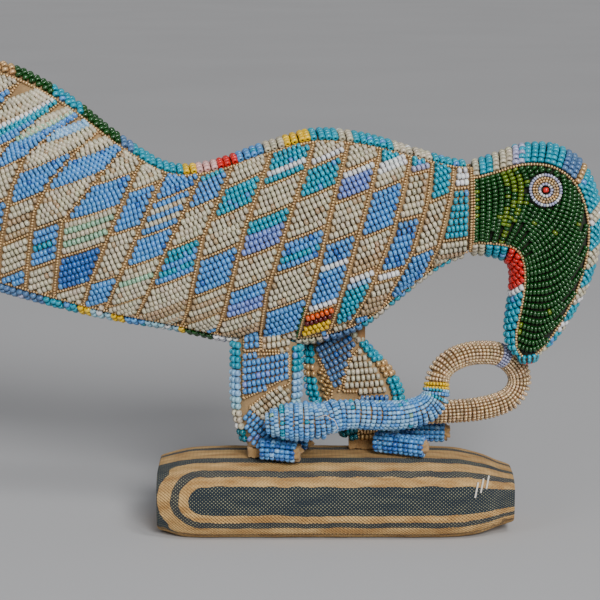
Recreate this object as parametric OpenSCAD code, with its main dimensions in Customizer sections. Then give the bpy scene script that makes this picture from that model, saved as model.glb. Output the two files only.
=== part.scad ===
// Beaded cloth bird with a snake, standing on a stuffed striped cushion.
// X runs from the tail to the head, Y from the near side to the far side, Z up.
// The origin is the middle of the cushion's flat underside.

/* [Cushion] */
// Length of the cushion
cushion_l = 161; // [140:1:194]
// Depth of the cushion from front to back
cushion_w = 62; // [56:1:75]
// Height of the cushion at its crown
cushion_h = 34; // [29:0.5:41]
// Thickness of the cushion's cotton cover
cover_t = 1.2; // [0.8:0.1:1.6]
// Length of the wooden board inside the cushion
board_l = 112; // [94:1:120]
// Width of the wooden board
board_w = 36; // [32:1:40]
// Thickness of the wooden board
board_t = 9; // [7.5:0.1:11]

/* [Bird] */
// Length of the bird from the tail's edge to the head's crown
bird_l = 327; // [272:1:393]
// Height of the bird's tail above the cushion's crown
bird_h = 179; // [149:1:215]
// Thickness of the body at its fullest
body_t = 54; // [45:1:65]
// Width across the eye's outer ring of beads
eye_d = 15.2; // [12.6:0.1:18]
// Width of the eye's inner patch
eye_patch_d = 10; // [8.4:0.1:11]
// Width of the red bead in the eye
pupil_d = 2.8; // [2.3:0.1:3.4]

/* [Beadwork] */
// Thickness of the bead rows that wrap the seams
band_t = 3; // [2.5:0.1:3.6]
// Thickness of the bead rows on the flat fields
field_t = 2.4; // [2:0.1:2.9]
// Thickness of the cotton cloth under the beads
cloth_t = 0.8; // [0.7:0.05:1]
// Clearance between two layers that are sewn together
sew_gap = 0.2; // [0.15:0.05:0.3]

/* [Sticks and wire] */
// Diameter of the two leg sticks
stick_d = 5; // [4.2:0.1:6]
// Diameter of the stick along the back
spine_d = 8; // [6.7:0.1:9.6]
// Diameter of the iron wire in the neck
wire_d = 3; // [2.5:0.1:3.6]
// Diameter of the palm ribs in the tail
rib_d = 2; // [1.6:0.1:2.4]
// Width of the cord lashing at a crossing
lash_w = 5; // [4.2:0.1:6]
// Clearance round a stick or a wire in what it passes through
stick_gap = 0.2; // [0.15:0.05:0.3]

/* [Legs and feet] */
// Thickness of a stuffed leg
leg_t = 15; // [13.5:0.5:18]
// Diameter of a beaded toe
toe_d = 9.6; // [8:0.1:11.5]
// Length of the cloth plug at the end of a toe
plug_l = 2; // [1.6:0.1:2.4]
// Height of the bare cloth stump under a leg
stump_h = 5; // [4.2:0.1:6]

/* [Snake] */
// Diameter of the snake's blue body
snake_d = 13.6; // [11.4:0.1:16.3]
// Diameter of the snake's wrapped tail loop
tail_d = 11.2; // [9.4:0.1:13.4]
// Height of the snake's head
snake_head_h = 22; // [18.4:0.1:24]
// Thickness of the bead strings wound round the snake
wrap_t = 2; // [1.7:0.1:2.4]
// Clearance between the snake and what it passes
snake_gap = 0.6; // [0.5:0.1:0.8]

/* [Hidden] */
$fn = 48;

// The outline is drawn for a bird of these sizes and scaled to the chosen ones.
drawn_l = 327;
drawn_h = 179;
drawn_t = 54;
drawn_crown = 34;
kx = bird_l / drawn_l;
kz = bird_h / drawn_h;
kt = body_t / drawn_t;

// Each station joins a point on the back to a point on the belly:
// [back x, back z, belly x, belly z, half thickness].
DRAWN = [
  [-205, 174, -203, 156, 5.5],
  [-200, 190, -195, 138, 7.5],
  [-187, 206, -183, 123, 8.5],
  [-168, 213, -166, 113, 9.5],
  [-145, 211, -146, 106, 11],
  [-120, 198, -120, 99, 13.5],
  [-97, 180, -97, 94, 17],
  [-75, 167, -73, 90, 20],
  [-55, 168, -50, 85, 22.5],
  [-32, 176, -28, 83, 25.5],
  [-10, 182, -6, 85, 27],
  [12, 180, 12, 91.5, 25.5],
  [33, 174, 30, 106, 21],
  [50, 169, 47, 119, 17],
  [60, 168, 60, 124, 15.5],
  [70, 171, 69, 123.5, 16],
  [84, 175.5, 75, 121.5, 16.5],
  [99, 174.5, 77.5, 118.5, 16.5],
  [111, 166, 78, 114, 15.5],
  [118, 149, 77.5, 108, 14],
  [118.5, 131, 76.5, 101, 12],
  [114.5, 114, 75.5, 94, 10],
  [107, 98, 75.5, 87.5, 8],
  [99, 86, 77.5, 82, 6],
  [92, 79.5, 82, 78, 4.8]
];
NECK = 14;
BEAK = 24;
// Where the body, the collar and the head begin and end along the stations
collar_start = 13.9;
collar_end = 14.1;
collar_gap = 0.02;
ring_step = 0.5;

// Angles of a section: 0 at the widest point of a side, 90 at the back
arc_step = 22.5;
body_edge = 67.5;
head_edge = 45;
// A band starts this far past the field's edge, and cloth stops this far off the seam
edge_gap = 1;
cloth_edge = 88;

STATIONS = [for (s = DRAWN) [s[0] * kx, up_z(s[1]), s[2] * kx, up_z(s[3]), s[4] * kt]];

// Depths of the layers below the outermost beads
field_out = -(band_t - field_t);
field_in = -band_t;
cloth_out = field_in - sew_gap;
cloth_in = cloth_out - cloth_t;
fill_out = cloth_in - sew_gap;

// Legs: [front x, z, rear x, z, half thickness] from the top down
leg_gap = 1.4;
leg_y = (leg_t + leg_gap) / 2;
leg_foot = drawn_crown + stump_h;
REAR_LEG = [
  [-15, 100, -44, 100], [-14.5, 90, -47.5, 90], [-14.5, 76, -48, 76],
  [-15, 62, -48, 62], [-18, 51, -46.5, 51], [-21, leg_foot, -43, leg_foot]
];
FRONT_LEG = [
  [4, 99, -12, 99], [10, 89, -14, 89], [19, 79, -15, 79],
  [27, 70, -15, 70], [32, 59, -13.5, 59], [29, 49, -6, 49], [22, leg_foot, 3, leg_foot]
];
rear_stick_x = -32 * kx;
front_stick_x = 11 * kx;

// The stick along the back runs from the tail to the breast.
spine_tail = [-140 * kx, 0, up_z(155)];
spine_breast = [36 * kx, 0, up_z(137)];
board_z = cover_t + sew_gap;
stick_foot = board_z + 2;
stick_over = 12;

// Eye, as a station along the head and an angle up from its widest line
eye_s = 17;
eye_a = 20;
eye_proud = 0.4;

// Feet lie on the cushion's crown.
toe_z = cushion_h + toe_d / 2 + 0.3;
stitch_d = 0.8;

// The snake runs along the near side of the legs, then loops behind the beak.
lump_y = -(leg_y + leg_t / 2 + snake_gap + snake_head_h * 0.41);
tube_y = -(leg_y + leg_t / 2 + snake_gap + snake_d / 2);
bend_y = -10.3;
pass_y = bend_y + snake_d / 2 + tail_d / 2 + snake_gap;
hook_y = DRAWN[BEAK][4] * kt + tail_d / 2 + snake_gap;
rb = snake_d / 2;
rt = tail_d / 2;
rh = snake_head_h / 2;
// [x, y, z, half height, half width]
SNAKE = [
  on_bird(-31.5, lump_y, 53, 0.4 * rh, 0.35 * rh),
  on_bird(-28, lump_y, 53.5, 0.7 * rh, 0.58 * rh),
  on_bird(-22, lump_y, 54, 0.92 * rh, 0.76 * rh),
  on_bird(-15, lump_y, 54, rh, 0.82 * rh),
  on_bird(-8, lump_y + 0.6, 54.5, 0.9 * rh, 0.77 * rh),
  on_bird(-1, tube_y, 56, rb + 0.8, rb + 0.5),
  on_bird(7, tube_y + 1.5, 56.5, rb, rb),
  on_bird(15, tube_y + 3, 55.8, rb, rb),
  on_bird(24, (tube_y + bend_y) / 2, 54.8, rb, rb),
  on_bird(32, bend_y - 3.5, 54.8, rb, rb),
  on_bird(39.5, bend_y - 1.6, 56.6, rb, rb),
  on_bird(44, bend_y, 60.5, rb - 0.2, rb - 0.2),
  on_bird(45, bend_y + 1.1, 65, rt + 0.6, rt + 0.6),
  on_bird(45.3, bend_y + 1.9, 68.4, rt + 0.3, rt + 0.3),
  on_bird(46.8, bend_y + 3.1, 73, rt, rt),
  on_bird(51.5, bend_y + 5, 77.3, rt, rt),
  on_bird(58.5, hook_y - 13, 79.6, rt, rt),
  on_bird(66, hook_y - 9.3, 79.8, rt, rt),
  on_bird(73.5, hook_y - 5.2, 78.3, rt, rt),
  on_bird(79.8, hook_y - 1.6, 74.2, rt, rt),
  on_bird(83.8, hook_y, 68.5, rt, rt),
  on_bird(84, hook_y, 62.3, rt, rt),
  on_bird(80, hook_y - 1, 56.8, rt, rt),
  on_bird(72.5, hook_y - 2.7, 53.8, rt, rt),
  on_bird(63, pass_y + 3.6, 52.3, rt, rt),
  on_bird(53, pass_y + 2.2, 51.8, rt, rt),
  on_bird(45, pass_y + 1.2, 51.6, rt, rt),
  on_bird(37, pass_y + 0.6, 51.5, rt, rt)
];
HEAD_END = 5;
BODY_END = 12;
YELLOW_END = 13;
WHITE_START = 18;
WHITE_END = 18.5;
TAIL_END = 27;

function up_z(z) = cushion_h + (z - drawn_crown) * kz;
function on_bird(x, y, z, high, wide) = [x * kx, y, up_z(z), high, wide];
function unit(v) = v / norm(v);
function xyz(v) = [v[0], v[1], v[2]];

// A smooth curve through the rows of a list, at place s counted in rows
function blend(a, b, c, d, t) =
  0.5 * (2 * b + (c - a) * t + (2 * a - 5 * b + 4 * c - d) * t * t
    + (3 * b - a - 3 * c + d) * t * t * t);
function along(list, s) =
  let (
    last = len(list) - 1,
    i = min(floor(s), last - 1)
  )
  blend(list[max(i - 1, 0)], list[i], list[i + 1], list[min(i + 2, last)], s - i);

// One point of a section, out from the outermost beads, at angle a
function rim(s, out, a) =
  let (
    back = [s[0], 0, s[1]],
    belly = [s[2], 0, s[3]],
    high = norm(back - belly) / 2
  )
  (back + belly) / 2
    + unit(back - belly) * (high + out) * sin(a)
    + [0, (s[4] + out) * cos(a), 0];
function angles(from, to) = concat(
  [from],
  [for (a = [ceil((from + 0.5) / arc_step) * arc_step:arc_step:to - 0.5]) a],
  [to]
);
function arc(s, out, from, to) = [for (a = angles(from, to)) rim(s, out, a)];
function whole(s, out) = [for (a = [0:arc_step:360 - arc_step]) rim(s, out, a)];
function reversed(list) = [for (i = [len(list) - 1:-1:0]) list[i]];
function strip(s, low, high, from, to) =
  concat(arc(s, high, from, to), reversed(arc(s, low, from, to)));
function steps(from, to) = concat(
  [from],
  [for (s = [floor(from / ring_step + 1) * ring_step:ring_step:to - 0.1]) s],
  [to]
);

// Places and directions on the head for the eye
function eye_at(out) = rim(along(STATIONS, eye_s), out, eye_a);
function eye_axis() = unit(eye_at(1) - eye_at(0));

// An end face of a skin, cut straight across from its outer edge to its inner one
function end_face(n, first) = [
  for (i = [0:n / 2 - 2])
    each [
      [first + i, first + i + 1, first + n - 2 - i],
      [first + i, first + n - 2 - i, first + n - 1 - i]
    ]
];

// A closed skin over rings that each have the same even number of points
module loft(rings) {
  n = len(rings[0]);
  m = len(rings);
  polyhedron(
    points = [for (r = rings) each r],
    faces = concat(
      end_face(n, 0),
      [for (f = end_face(n, (m - 1) * n)) reversed(f)],
      [for (j = [0:m - 2], i = [0:n - 1]) [j * n + (i + 1) % n, j * n + i, (j + 1) * n + i]],
      [for (j = [0:m - 2], i = [0:n - 1])
        [j * n + (i + 1) % n, (j + 1) * n + i, (j + 1) * n + (i + 1) % n]]
    )
  );
}

// A strip of a layer between two angles, from one station to another
module layer(list, from, to, low, high, a, b) {
  loft([for (s = steps(from, to)) strip(along(list, s), low, high, a, b)]);
}

// A whole stuffed form, from one station to another
module form(list, from, to, out) {
  loft([for (s = steps(from, to)) whole(along(list, s), out)]);
}

// Rings round a route, at a share of its radius less a wall
function ring(list, s, less, sides, lift) =
  let (
    c = along(list, s),
    ahead = along(list, min(s + 0.05, len(list) - 1)),
    behind = along(list, max(s - 0.05, 0)),
    dir = unit(xyz(ahead) - xyz(behind)),
    side = unit(cross(dir, lift)),
    top = cross(side, dir)
  )
  [for (i = [0:sides - 1])
    xyz(c)
      + top * (c[3] - less) * cos(360 * i / sides)
      + side * (c[4] - less) * sin(360 * i / sides)];

module tube(list, from, to, less, sides, lift) {
  loft([for (s = steps(from, to)) ring(list, s, less, sides, lift)]);
}

// A tube with an open middle
module sleeve(list, from, to, wall, sides, lift) {
  places = steps(from, to);
  m = len(places);
  n = sides;
  all = m * n;
  polyhedron(
    points = concat(
      [for (s = places) each ring(list, s, 0, n, lift)],
      [for (s = places) each ring(list, s, wall, n, lift)]
    ),
    faces = concat(
      [for (j = [0:m - 2], i = [0:n - 1]) [j * n + (i + 1) % n, j * n + i, (j + 1) * n + i]],
      [for (j = [0:m - 2], i = [0:n - 1])
        [j * n + (i + 1) % n, (j + 1) * n + i, (j + 1) * n + (i + 1) % n]],
      [for (j = [0:m - 2], i = [0:n - 1])
        [all + j * n + i, all + j * n + (i + 1) % n, all + (j + 1) * n + i]],
      [for (j = [0:m - 2], i = [0:n - 1])
        [all + j * n + (i + 1) % n, all + (j + 1) * n + (i + 1) % n, all + (j + 1) * n + i]],
      [for (i = [0:n - 1]) [i, (i + 1) % n, all + i]],
      [for (i = [0:n - 1]) [(i + 1) % n, all + (i + 1) % n, all + i]],
      [for (i = [0:n - 1])
        [(m - 1) * n + i, all + (m - 1) * n + i, (m - 1) * n + (i + 1) % n]],
      [for (i = [0:n - 1])
        [(m - 1) * n + (i + 1) % n, all + (m - 1) * n + i, all + (m - 1) * n + (i + 1) % n]]
    )
  );
}

// A straight round bar between two points
module bar(p, q, d) {
  v = q - p;
  translate(p)
    rotate([0, acos(v[2] / norm(v)), atan2(v[1], v[0])])
      cylinder(h = norm(v), d = d);
}

// ---- Cushion ----

cushion_mid = cushion_h * 0.43;
left_round = 24;
right_taper = 40;

function left_share(x) = pow(1 - pow(max(0, 1 - (x + cushion_l / 2) / left_round), 3), 1 / 3);
function right_share(x) =
  pow(1 - 0.9 * pow(max(0, 1 - (cushion_l / 2 - x) / right_taper), 2.6), 1 / 2);
function cushion_x(i, n) = -cushion_l / 2 * cos(180 * i / n);
function cushion_rim(x, less, a) =
  let (
    k = min(left_share(x), right_share(x)),
    wide = cushion_w / 2 * max(k, 0.3) - less,
    high = (cushion_h - cushion_mid) * max(k, 0.36) - less,
    deep = (cushion_mid + 3) * max(k, 0.36) - less
  )
  [
    x,
    -wide * sign(cos(a)) * pow(abs(cos(a)), 0.62),
    cushion_mid + (sin(a) > 0 ? high : deep) * sign(sin(a)) * pow(abs(sin(a)), 0.62)
  ];

module cushion_form(less, floor_z) {
  n = 18;
  intersection() {
    loft([for (i = [0:n])
      [for (a = [345:-15:0])
        cushion_rim(cushion_x(i, n) * (1 - 2 * less / cushion_l), less, a)]]);
    translate([-cushion_l, -cushion_w, floor_z])
      cube([2 * cushion_l, 2 * cushion_w, 2 * cushion_h]);
  }
}

module cushion_cover() {
  color("tan")
    difference() {
      cushion_form(0, 0);
      cushion_form(cover_t, cover_t);
      stick_bores();
    }
}

module cushion_padding() {
  color("ivory")
    difference() {
      cushion_form(cover_t + sew_gap, cover_t + sew_gap);
      translate([-board_l / 2 - sew_gap, -board_w / 2 - sew_gap, 0])
        cube([board_l + 2 * sew_gap, board_w + 2 * sew_gap, board_z + board_t + sew_gap]);
      stick_bores();
    }
}

module cushion_board() {
  color("burlywood")
    difference() {
      translate([-board_l / 2, -board_w / 2, board_z])
        cube([board_l, board_w, board_t]);
      stick_bores();
    }
}

module cushion_stitches() {
  x0 = cushion_l / 2 - 19;
  color("white")
    for (i = [0:2])
      bar(cushion_rim(x0 + 2.6 * i, -stitch_d, 8 + 6 * i),
        cushion_rim(x0 + 2.6 * i + 1.5, -stitch_d, 30 + 8 * i), stitch_d);
}

// ---- Sticks, wire and ribs ----

module stick_at(x, y, d) {
  translate([x, y, stick_foot])
    cylinder(h = spine_z(x) + stick_over - stick_foot, d = d);
}
function spine_z(x) =
  spine_tail[2] + (spine_breast[2] - spine_tail[2]) * (x - spine_tail[0])
    / (spine_breast[0] - spine_tail[0]);

module stick_bores() {
  stick_at(rear_stick_x, -leg_y, stick_d + 2 * stick_gap);
  stick_at(front_stick_x, leg_y, stick_d + 2 * stick_gap);
}

module rear_leg_stick() {
  color("peru") stick_at(rear_stick_x, -leg_y, stick_d);
}

module front_leg_stick() {
  color("peru") stick_at(front_stick_x, leg_y, stick_d);
}

module spine_stick() {
  color("peru") bar(spine_tail, spine_breast, spine_d);
}

// Two crossed loops of cord tie a leg stick to the stick along the back.
lash_t = 1.6;
lash_long = leg_y + (spine_d + stick_d) / 2 + 4 * stick_gap;
lash_mid = (leg_y + stick_d / 2 - spine_d / 2) / 2;
// Each loop leans 45 degrees, so a stick passes it at a slant.
lash_high = (max(spine_d, stick_d) + 2 * stick_gap) * sqrt(2) + lash_w;

module lash_loop(turn) {
  rotate([0, turn, 0])
    translate([0, 0, -lash_w / 2])
      difference() {
        translate([-lash_high / 2 - lash_t, -lash_long / 2 - lash_t, 0])
          cube([lash_high + 2 * lash_t, lash_long + 2 * lash_t, lash_w]);
        translate([-lash_high / 2, -lash_long / 2, -1])
          cube([lash_high, lash_long, lash_w + 2]);
      }
}

module lashing(x, side) {
  translate([x, side * lash_mid, spine_z(x)]) {
    lash_loop(45);
    lash_loop(-45);
  }
}

module stick_lashings() {
  color("wheat") {
    lashing(rear_stick_x, -1);
    lashing(front_stick_x, 1);
  }
}

module lash_pocket(x, side) {
  reach = lash_long + 2 * lash_t + 2 * stick_gap;
  translate([x, side * lash_mid - reach / 2, spine_z(x)])
    rotate([-90, 0, 0])
      cylinder(h = reach, r = lash_high / 2 + lash_t + lash_w / 2 + 1);
}

// [x, y, z, radius, radius]
WIRE = [
  [40 * kx, 0, up_z(138), wire_d / 2, wire_d / 2],
  [55 * kx, 0, up_z(146), wire_d / 2, wire_d / 2],
  [72 * kx, 0, up_z(149), wire_d / 2, wire_d / 2],
  [88 * kx, 0, up_z(146), wire_d / 2, wire_d / 2],
  [97 * kx, 0, up_z(134), wire_d / 2, wire_d / 2],
  [97 * kx, 0, up_z(118), wire_d / 2, wire_d / 2],
  [92 * kx, 0, up_z(103), wire_d / 2, wire_d / 2]
];

module neck_wire() {
  color("dimgray") tube(WIRE, 0, 6, 0, 8, [0, 1, 0]);
}

module wire_bore() {
  tube(WIRE, 0, 6, -stick_gap, 8, [0, 1, 0]);
}

rib_count = 5;
function rib_angle(i) = 180 + 26 * (i - (rib_count - 1) / 2);

module ribs(d) {
  for (i = [0:rib_count - 1]) {
    high = 3.4 * ((rib_count - 1) / 2 - i);
    start = spine_tail + [-3, 0, high];
    bar(start, start + [40 * kx * cos(rib_angle(i)), 0, 37 * kz * sin(rib_angle(i))], d);
  }
}

module tail_ribs() {
  color("goldenrod") ribs(rib_d);
}

// ---- Stuffed forms ----

module body_stuffing() {
  color("linen")
    difference() {
      form(STATIONS, 0, NECK, fill_out);
      bar(spine_tail - [0.4, 0, 0], spine_breast + [0.4, 0, 0], spine_d + 2 * stick_gap);
      stick_bores();
      wire_bore();
      ribs(rib_d + 2 * stick_gap);
      lash_pocket(rear_stick_x, -1);
      lash_pocket(front_stick_x, 1);
    }
}

module head_stuffing() {
  color("linen")
    difference() {
      form(STATIONS, NECK + 0.02, BEAK - 1, fill_out);
      wire_bore();
    }
}

module cloth_half(from, to) {
  color("wheat") layer(STATIONS, from, to, cloth_in, cloth_out, -cloth_edge, cloth_edge);
}

module body_cloth_far() {
  difference() {
    cloth_half(0, NECK);
    stick_bores();
  }
}

module body_cloth_near() {
  difference() {
    mirror([0, 1, 0]) cloth_half(0, NECK);
    stick_bores();
  }
}

module head_cloth_far() {
  cloth_half(NECK + 0.02, BEAK);
}

module head_cloth_near() {
  mirror([0, 1, 0]) head_cloth_far();
}

// ---- Bead fields ----

module body_beads_far() {
  color("cornflowerblue")
    difference() {
      layer(STATIONS, 0, collar_start, field_in, field_out, -body_edge, body_edge);
      stick_bores();
    }
}

module body_beads_near() {
  color("cornflowerblue")
    difference() {
      mirror([0, 1, 0])
        layer(STATIONS, 0, collar_start, field_in, field_out, -body_edge, body_edge);
      stick_bores();
    }
}

module head_beads_far() {
  color("darkgreen")
    difference() {
      layer(STATIONS, collar_end, BEAK, field_in, field_out, -head_edge, head_edge);
      eye_disc(eye_d + 2 * sew_gap, field_in - cloth_t, 2 * band_t);
    }
}

module head_beads_near() {
  mirror([0, 1, 0]) head_beads_far();
}

module collar_half() {
  layer(STATIONS, collar_start + collar_gap, collar_end - collar_gap, field_in, 0, -body_edge, body_edge);
}

module neck_collar() {
  color("tan") {
    collar_half();
    mirror([0, 1, 0]) collar_half();
  }
}

// ---- Seam bands ----

module back_band() {
  color("darkturquoise")
    layer(STATIONS, 0, NECK, field_in, 0, body_edge + edge_gap, 180 - edge_gap - body_edge);
}

module belly_band() {
  color("lightskyblue")
    difference() {
      layer(STATIONS, 0, NECK, field_in, 0, 180 + edge_gap + body_edge, 360 - edge_gap - body_edge);
      stick_bores();
    }
}

module crown_band() {
  color("turquoise")
    layer(STATIONS, collar_end, BEAK, field_in, 0, head_edge + edge_gap, 180 - edge_gap - head_edge);
}

module throat_band() {
  color("lightgray")
    layer(STATIONS, collar_end, BEAK, field_in, 0, 180 + edge_gap + head_edge, 360 - edge_gap - head_edge);
}

module tail_edge_band() {
  s = along(STATIONS, 0);
  color("tan")
    translate([-sew_gap, 0, 0])
      loft([
        for (k = [0:3])
          whole([
            s[0] - 3 * sin(30 * k), s[1] - 9 * (1 - cos(22 * k)) * kz,
            s[2] - 5 * sin(30 * k), s[3] + 9 * (1 - cos(22 * k)) * kz,
            s[4] * cos(22 * k)
          ], 0)
      ]);
}

module beak_tip() {
  s = along(STATIONS, BEAK);
  color("turquoise")
    translate([0, 0, -sew_gap])
      loft([
        for (k = [0:3])
          whole([
            s[0] - 2.8 * (1 - cos(24 * k)), s[1] - 2.8 * sin(30 * k),
            s[2] + 2.8 * (1 - cos(24 * k)), s[3] - 2.4 * sin(30 * k),
            s[4] * cos(20 * k)
          ], 0)
      ]);
}

// ---- Eyes ----

// A disc square to the head's side at the eye
module eye_disc(d, low, high) {
  axis = eye_axis();
  translate(eye_at(0))
    rotate([0, acos(axis[2]), atan2(axis[1], axis[0])])
      translate([0, 0, low])
        cylinder(h = high - low, d = d);
}

module eye_ring_far() {
  color("lavender")
    difference() {
      eye_disc(eye_d, field_in, eye_proud);
      eye_disc(eye_patch_d + 2 * sew_gap, field_in - 1, eye_proud + 1);
    }
}

module eye_ring_near() {
  mirror([0, 1, 0]) eye_ring_far();
}

module eye_patch_far() {
  color("thistle")
    difference() {
      eye_disc(eye_patch_d, field_in, eye_proud);
      eye_disc(pupil_d + 2 * sew_gap, field_in - 1, eye_proud + 1);
    }
}

module eye_patch_near() {
  mirror([0, 1, 0]) eye_patch_far();
}

module pupil_far() {
  color("red") eye_disc(pupil_d, field_in, 2 * eye_proud);
}

module pupil_near() {
  mirror([0, 1, 0]) pupil_far();
}

// ---- Legs ----

function leg_list(drawn) =
  [for (s = drawn) [s[0] * kx, up_z(s[1]), s[2] * kx, up_z(s[3]), leg_t / 2]];
REAR = leg_list(REAR_LEG);
FRONT = leg_list(FRONT_LEG);

module clear_of_body() {
  form(STATIONS, 7, NECK - 1, sew_gap);
}

module leg_fields(list, y) {
  difference() {
    translate([0, y, 0]) {
      layer(list, 0, len(list) - 1, field_in, field_out, -body_edge, body_edge);
      mirror([0, 1, 0])
        layer(list, 0, len(list) - 1, field_in, field_out, -body_edge, body_edge);
    }
    clear_of_body();
    stick_bores();
    toe_pockets();
  }
}

module leg_edges(list, y) {
  difference() {
    translate([0, y, 0]) {
      layer(list, 0, len(list) - 1, field_in, 0, body_edge + edge_gap, 180 - edge_gap - body_edge);
      layer(list, 0, len(list) - 1, field_in, 0, 180 + edge_gap + body_edge, 360 - edge_gap - body_edge);
    }
    clear_of_body();
    stick_bores();
    toe_pockets();
  }
}

module leg_fill(list, y) {
  difference() {
    translate([0, y, 0]) form(list, 0, len(list) - 1, cloth_out);
    clear_of_body();
    stick_bores();
  }
}

module rear_leg_beads() {
  color("steelblue") leg_fields(REAR, -leg_y);
}

module front_leg_beads() {
  color("lightgray") leg_fields(FRONT, leg_y);
}

module rear_leg_edges() {
  color("lightskyblue") leg_edges(REAR, -leg_y);
}

module front_leg_edges() {
  color("turquoise") leg_edges(FRONT, leg_y);
}

module rear_leg_stuffing() {
  color("linen") leg_fill(REAR, -leg_y);
}

module front_leg_stuffing() {
  color("linen") leg_fill(FRONT, leg_y);
}

module stump(list, y) {
  s = list[len(list) - 1];
  top = s[1] - sew_gap;
  low = cushion_h + sew_gap;
  difference() {
    translate([0, y, 0])
      loft([for (z = [top, low]) whole([s[0], z, s[2], z, s[4]], cloth_out)]);
    stick_bores();
  }
}

module rear_foot_stump() {
  color("tan") stump(REAR, -leg_y);
}

module front_foot_stump() {
  color("tan") stump(FRONT, leg_y);
}

// ---- Toes ----

function toe(x, y, z) = [x * kx, y, toe_z + z, toe_d / 2, toe_d / 2];
stump_side = leg_t / 2 + cloth_out;
rear_near_y = -leg_y - stump_side - toe_d / 2 - snake_gap;
rear_far_y = -leg_y + stump_side + toe_d / 2 + snake_gap;
front_near_y = leg_y - stump_side - toe_d / 2 - snake_gap;
front_far_y = leg_y + stump_side + toe_d / 2 + snake_gap;
REAR_NEAR = [toe(-34, rear_near_y, 0.6), toe(-27, rear_near_y - 1, 0.4), toe(-18, rear_near_y - 3, -0.2)];
REAR_FAR = [toe(-34, rear_far_y, 0.4), toe(-24, rear_far_y, 0.2), toe(-13, rear_far_y + 1, 0)];
FRONT_NEAR = [toe(18, front_near_y - 2, 0.6), toe(27, front_near_y - 6, 0.5), toe(39, front_near_y - 10, 0)];
FRONT_FAR = [toe(20, front_far_y, 0.4), toe(34, front_far_y + 0.5, 0.2), toe(51, front_far_y, 0)];
toe_sides = 12;

module toe_tube(list, more = 0) {
  tube(list, 0, 2, -more, toe_sides, [0, 0, 1]);
}

// Room for the toes in the beads of the legs above them
module toe_pockets() {
  for (list = [REAR_NEAR, REAR_FAR, FRONT_NEAR, FRONT_FAR])
    toe_tube(list, sew_gap);
}

module rear_toe_near() {
  color("royalblue") toe_tube(REAR_NEAR);
}

module rear_toe_far() {
  color("royalblue") toe_tube(REAR_FAR);
}

module front_toe_near() {
  color("royalblue") toe_tube(FRONT_NEAR);
}

module front_toe_far() {
  color("royalblue") toe_tube(FRONT_FAR);
}

module plug(list) {
  end = xyz(list[2]);
  dir = unit(end - xyz(along(list, 1.9)));
  bar(end + dir * 0.05, end + dir * plug_l, toe_d * 0.86);
}

module toe_plugs() {
  color("peru") {
    plug(REAR_NEAR);
    plug(REAR_FAR);
    plug(FRONT_NEAR);
    plug(FRONT_FAR);
  }
}

// ---- Snake ----

snake_sides = 10;
across = [0, 1, 0];

module snake_core() {
  color("tan")
    tube(SNAKE, 0, TAIL_END, wrap_t + sew_gap, snake_sides, across);
}

module snake_head() {
  color("lightskyblue") sleeve(SNAKE, 0, HEAD_END - 0.01, wrap_t, snake_sides, across);
}

module snake_body() {
  color("cornflowerblue")
    sleeve(SNAKE, HEAD_END + 0.01, BODY_END - 0.02, wrap_t, snake_sides, across);
}

module snake_yellow_band() {
  color("gold")
    sleeve(SNAKE, BODY_END + 0.02, YELLOW_END - 0.02, wrap_t, snake_sides, across);
}

module snake_tail_upper() {
  color("burlywood")
    sleeve(SNAKE, YELLOW_END + 0.02, WHITE_START - 0.02, wrap_t, snake_sides, across);
}

module snake_white_band() {
  color("white")
    sleeve(SNAKE, WHITE_START, WHITE_END - 0.05, wrap_t, snake_sides, across);
}

module snake_tail_lower() {
  color("burlywood")
    sleeve(SNAKE, WHITE_END, TAIL_END, wrap_t, snake_sides, across);
}

cushion_cover();
cushion_padding();
cushion_board();
cushion_stitches();
spine_stick();
rear_leg_stick();
front_leg_stick();
stick_lashings();
neck_wire();
tail_ribs();
body_stuffing();
head_stuffing();
body_cloth_near();
body_cloth_far();
head_cloth_near();
head_cloth_far();
body_beads_near();
body_beads_far();
head_beads_near();
head_beads_far();
neck_collar();
back_band();
belly_band();
crown_band();
throat_band();
tail_edge_band();
beak_tip();
eye_ring_near();
eye_ring_far();
eye_patch_near();
eye_patch_far();
pupil_near();
pupil_far();
rear_leg_beads();
front_leg_beads();
rear_leg_edges();
front_leg_edges();
rear_leg_stuffing();
front_leg_stuffing();
rear_foot_stump();
front_foot_stump();
rear_toe_near();
rear_toe_far();
front_toe_near();
front_toe_far();
toe_plugs();
snake_core();
snake_head();
snake_body();
snake_yellow_band();
snake_tail_upper();
snake_white_band();
snake_tail_lower();
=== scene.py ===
"""Finishes of the beaded cloth bird that bites a snake's tail on a striped cushion."""
import math

import bmesh
import bpy
import numpy as np
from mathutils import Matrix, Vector


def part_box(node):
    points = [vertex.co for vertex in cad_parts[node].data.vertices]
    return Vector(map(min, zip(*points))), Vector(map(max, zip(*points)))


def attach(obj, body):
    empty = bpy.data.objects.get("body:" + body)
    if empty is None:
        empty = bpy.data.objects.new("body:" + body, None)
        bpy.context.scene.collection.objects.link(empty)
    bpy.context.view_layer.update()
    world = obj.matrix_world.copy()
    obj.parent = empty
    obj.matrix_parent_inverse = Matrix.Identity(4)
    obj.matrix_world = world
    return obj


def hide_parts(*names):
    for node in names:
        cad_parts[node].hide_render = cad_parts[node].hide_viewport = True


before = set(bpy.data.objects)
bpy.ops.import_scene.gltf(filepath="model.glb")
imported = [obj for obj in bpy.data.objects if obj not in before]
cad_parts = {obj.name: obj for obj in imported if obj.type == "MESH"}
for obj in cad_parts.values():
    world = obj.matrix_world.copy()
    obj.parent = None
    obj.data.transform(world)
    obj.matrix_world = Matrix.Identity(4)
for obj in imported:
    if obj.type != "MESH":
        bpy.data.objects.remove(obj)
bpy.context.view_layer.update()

MM = 0.001
BODY = "root"
rng = np.random.default_rng(7)

# ---- Camera, lights and floor ----


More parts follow.
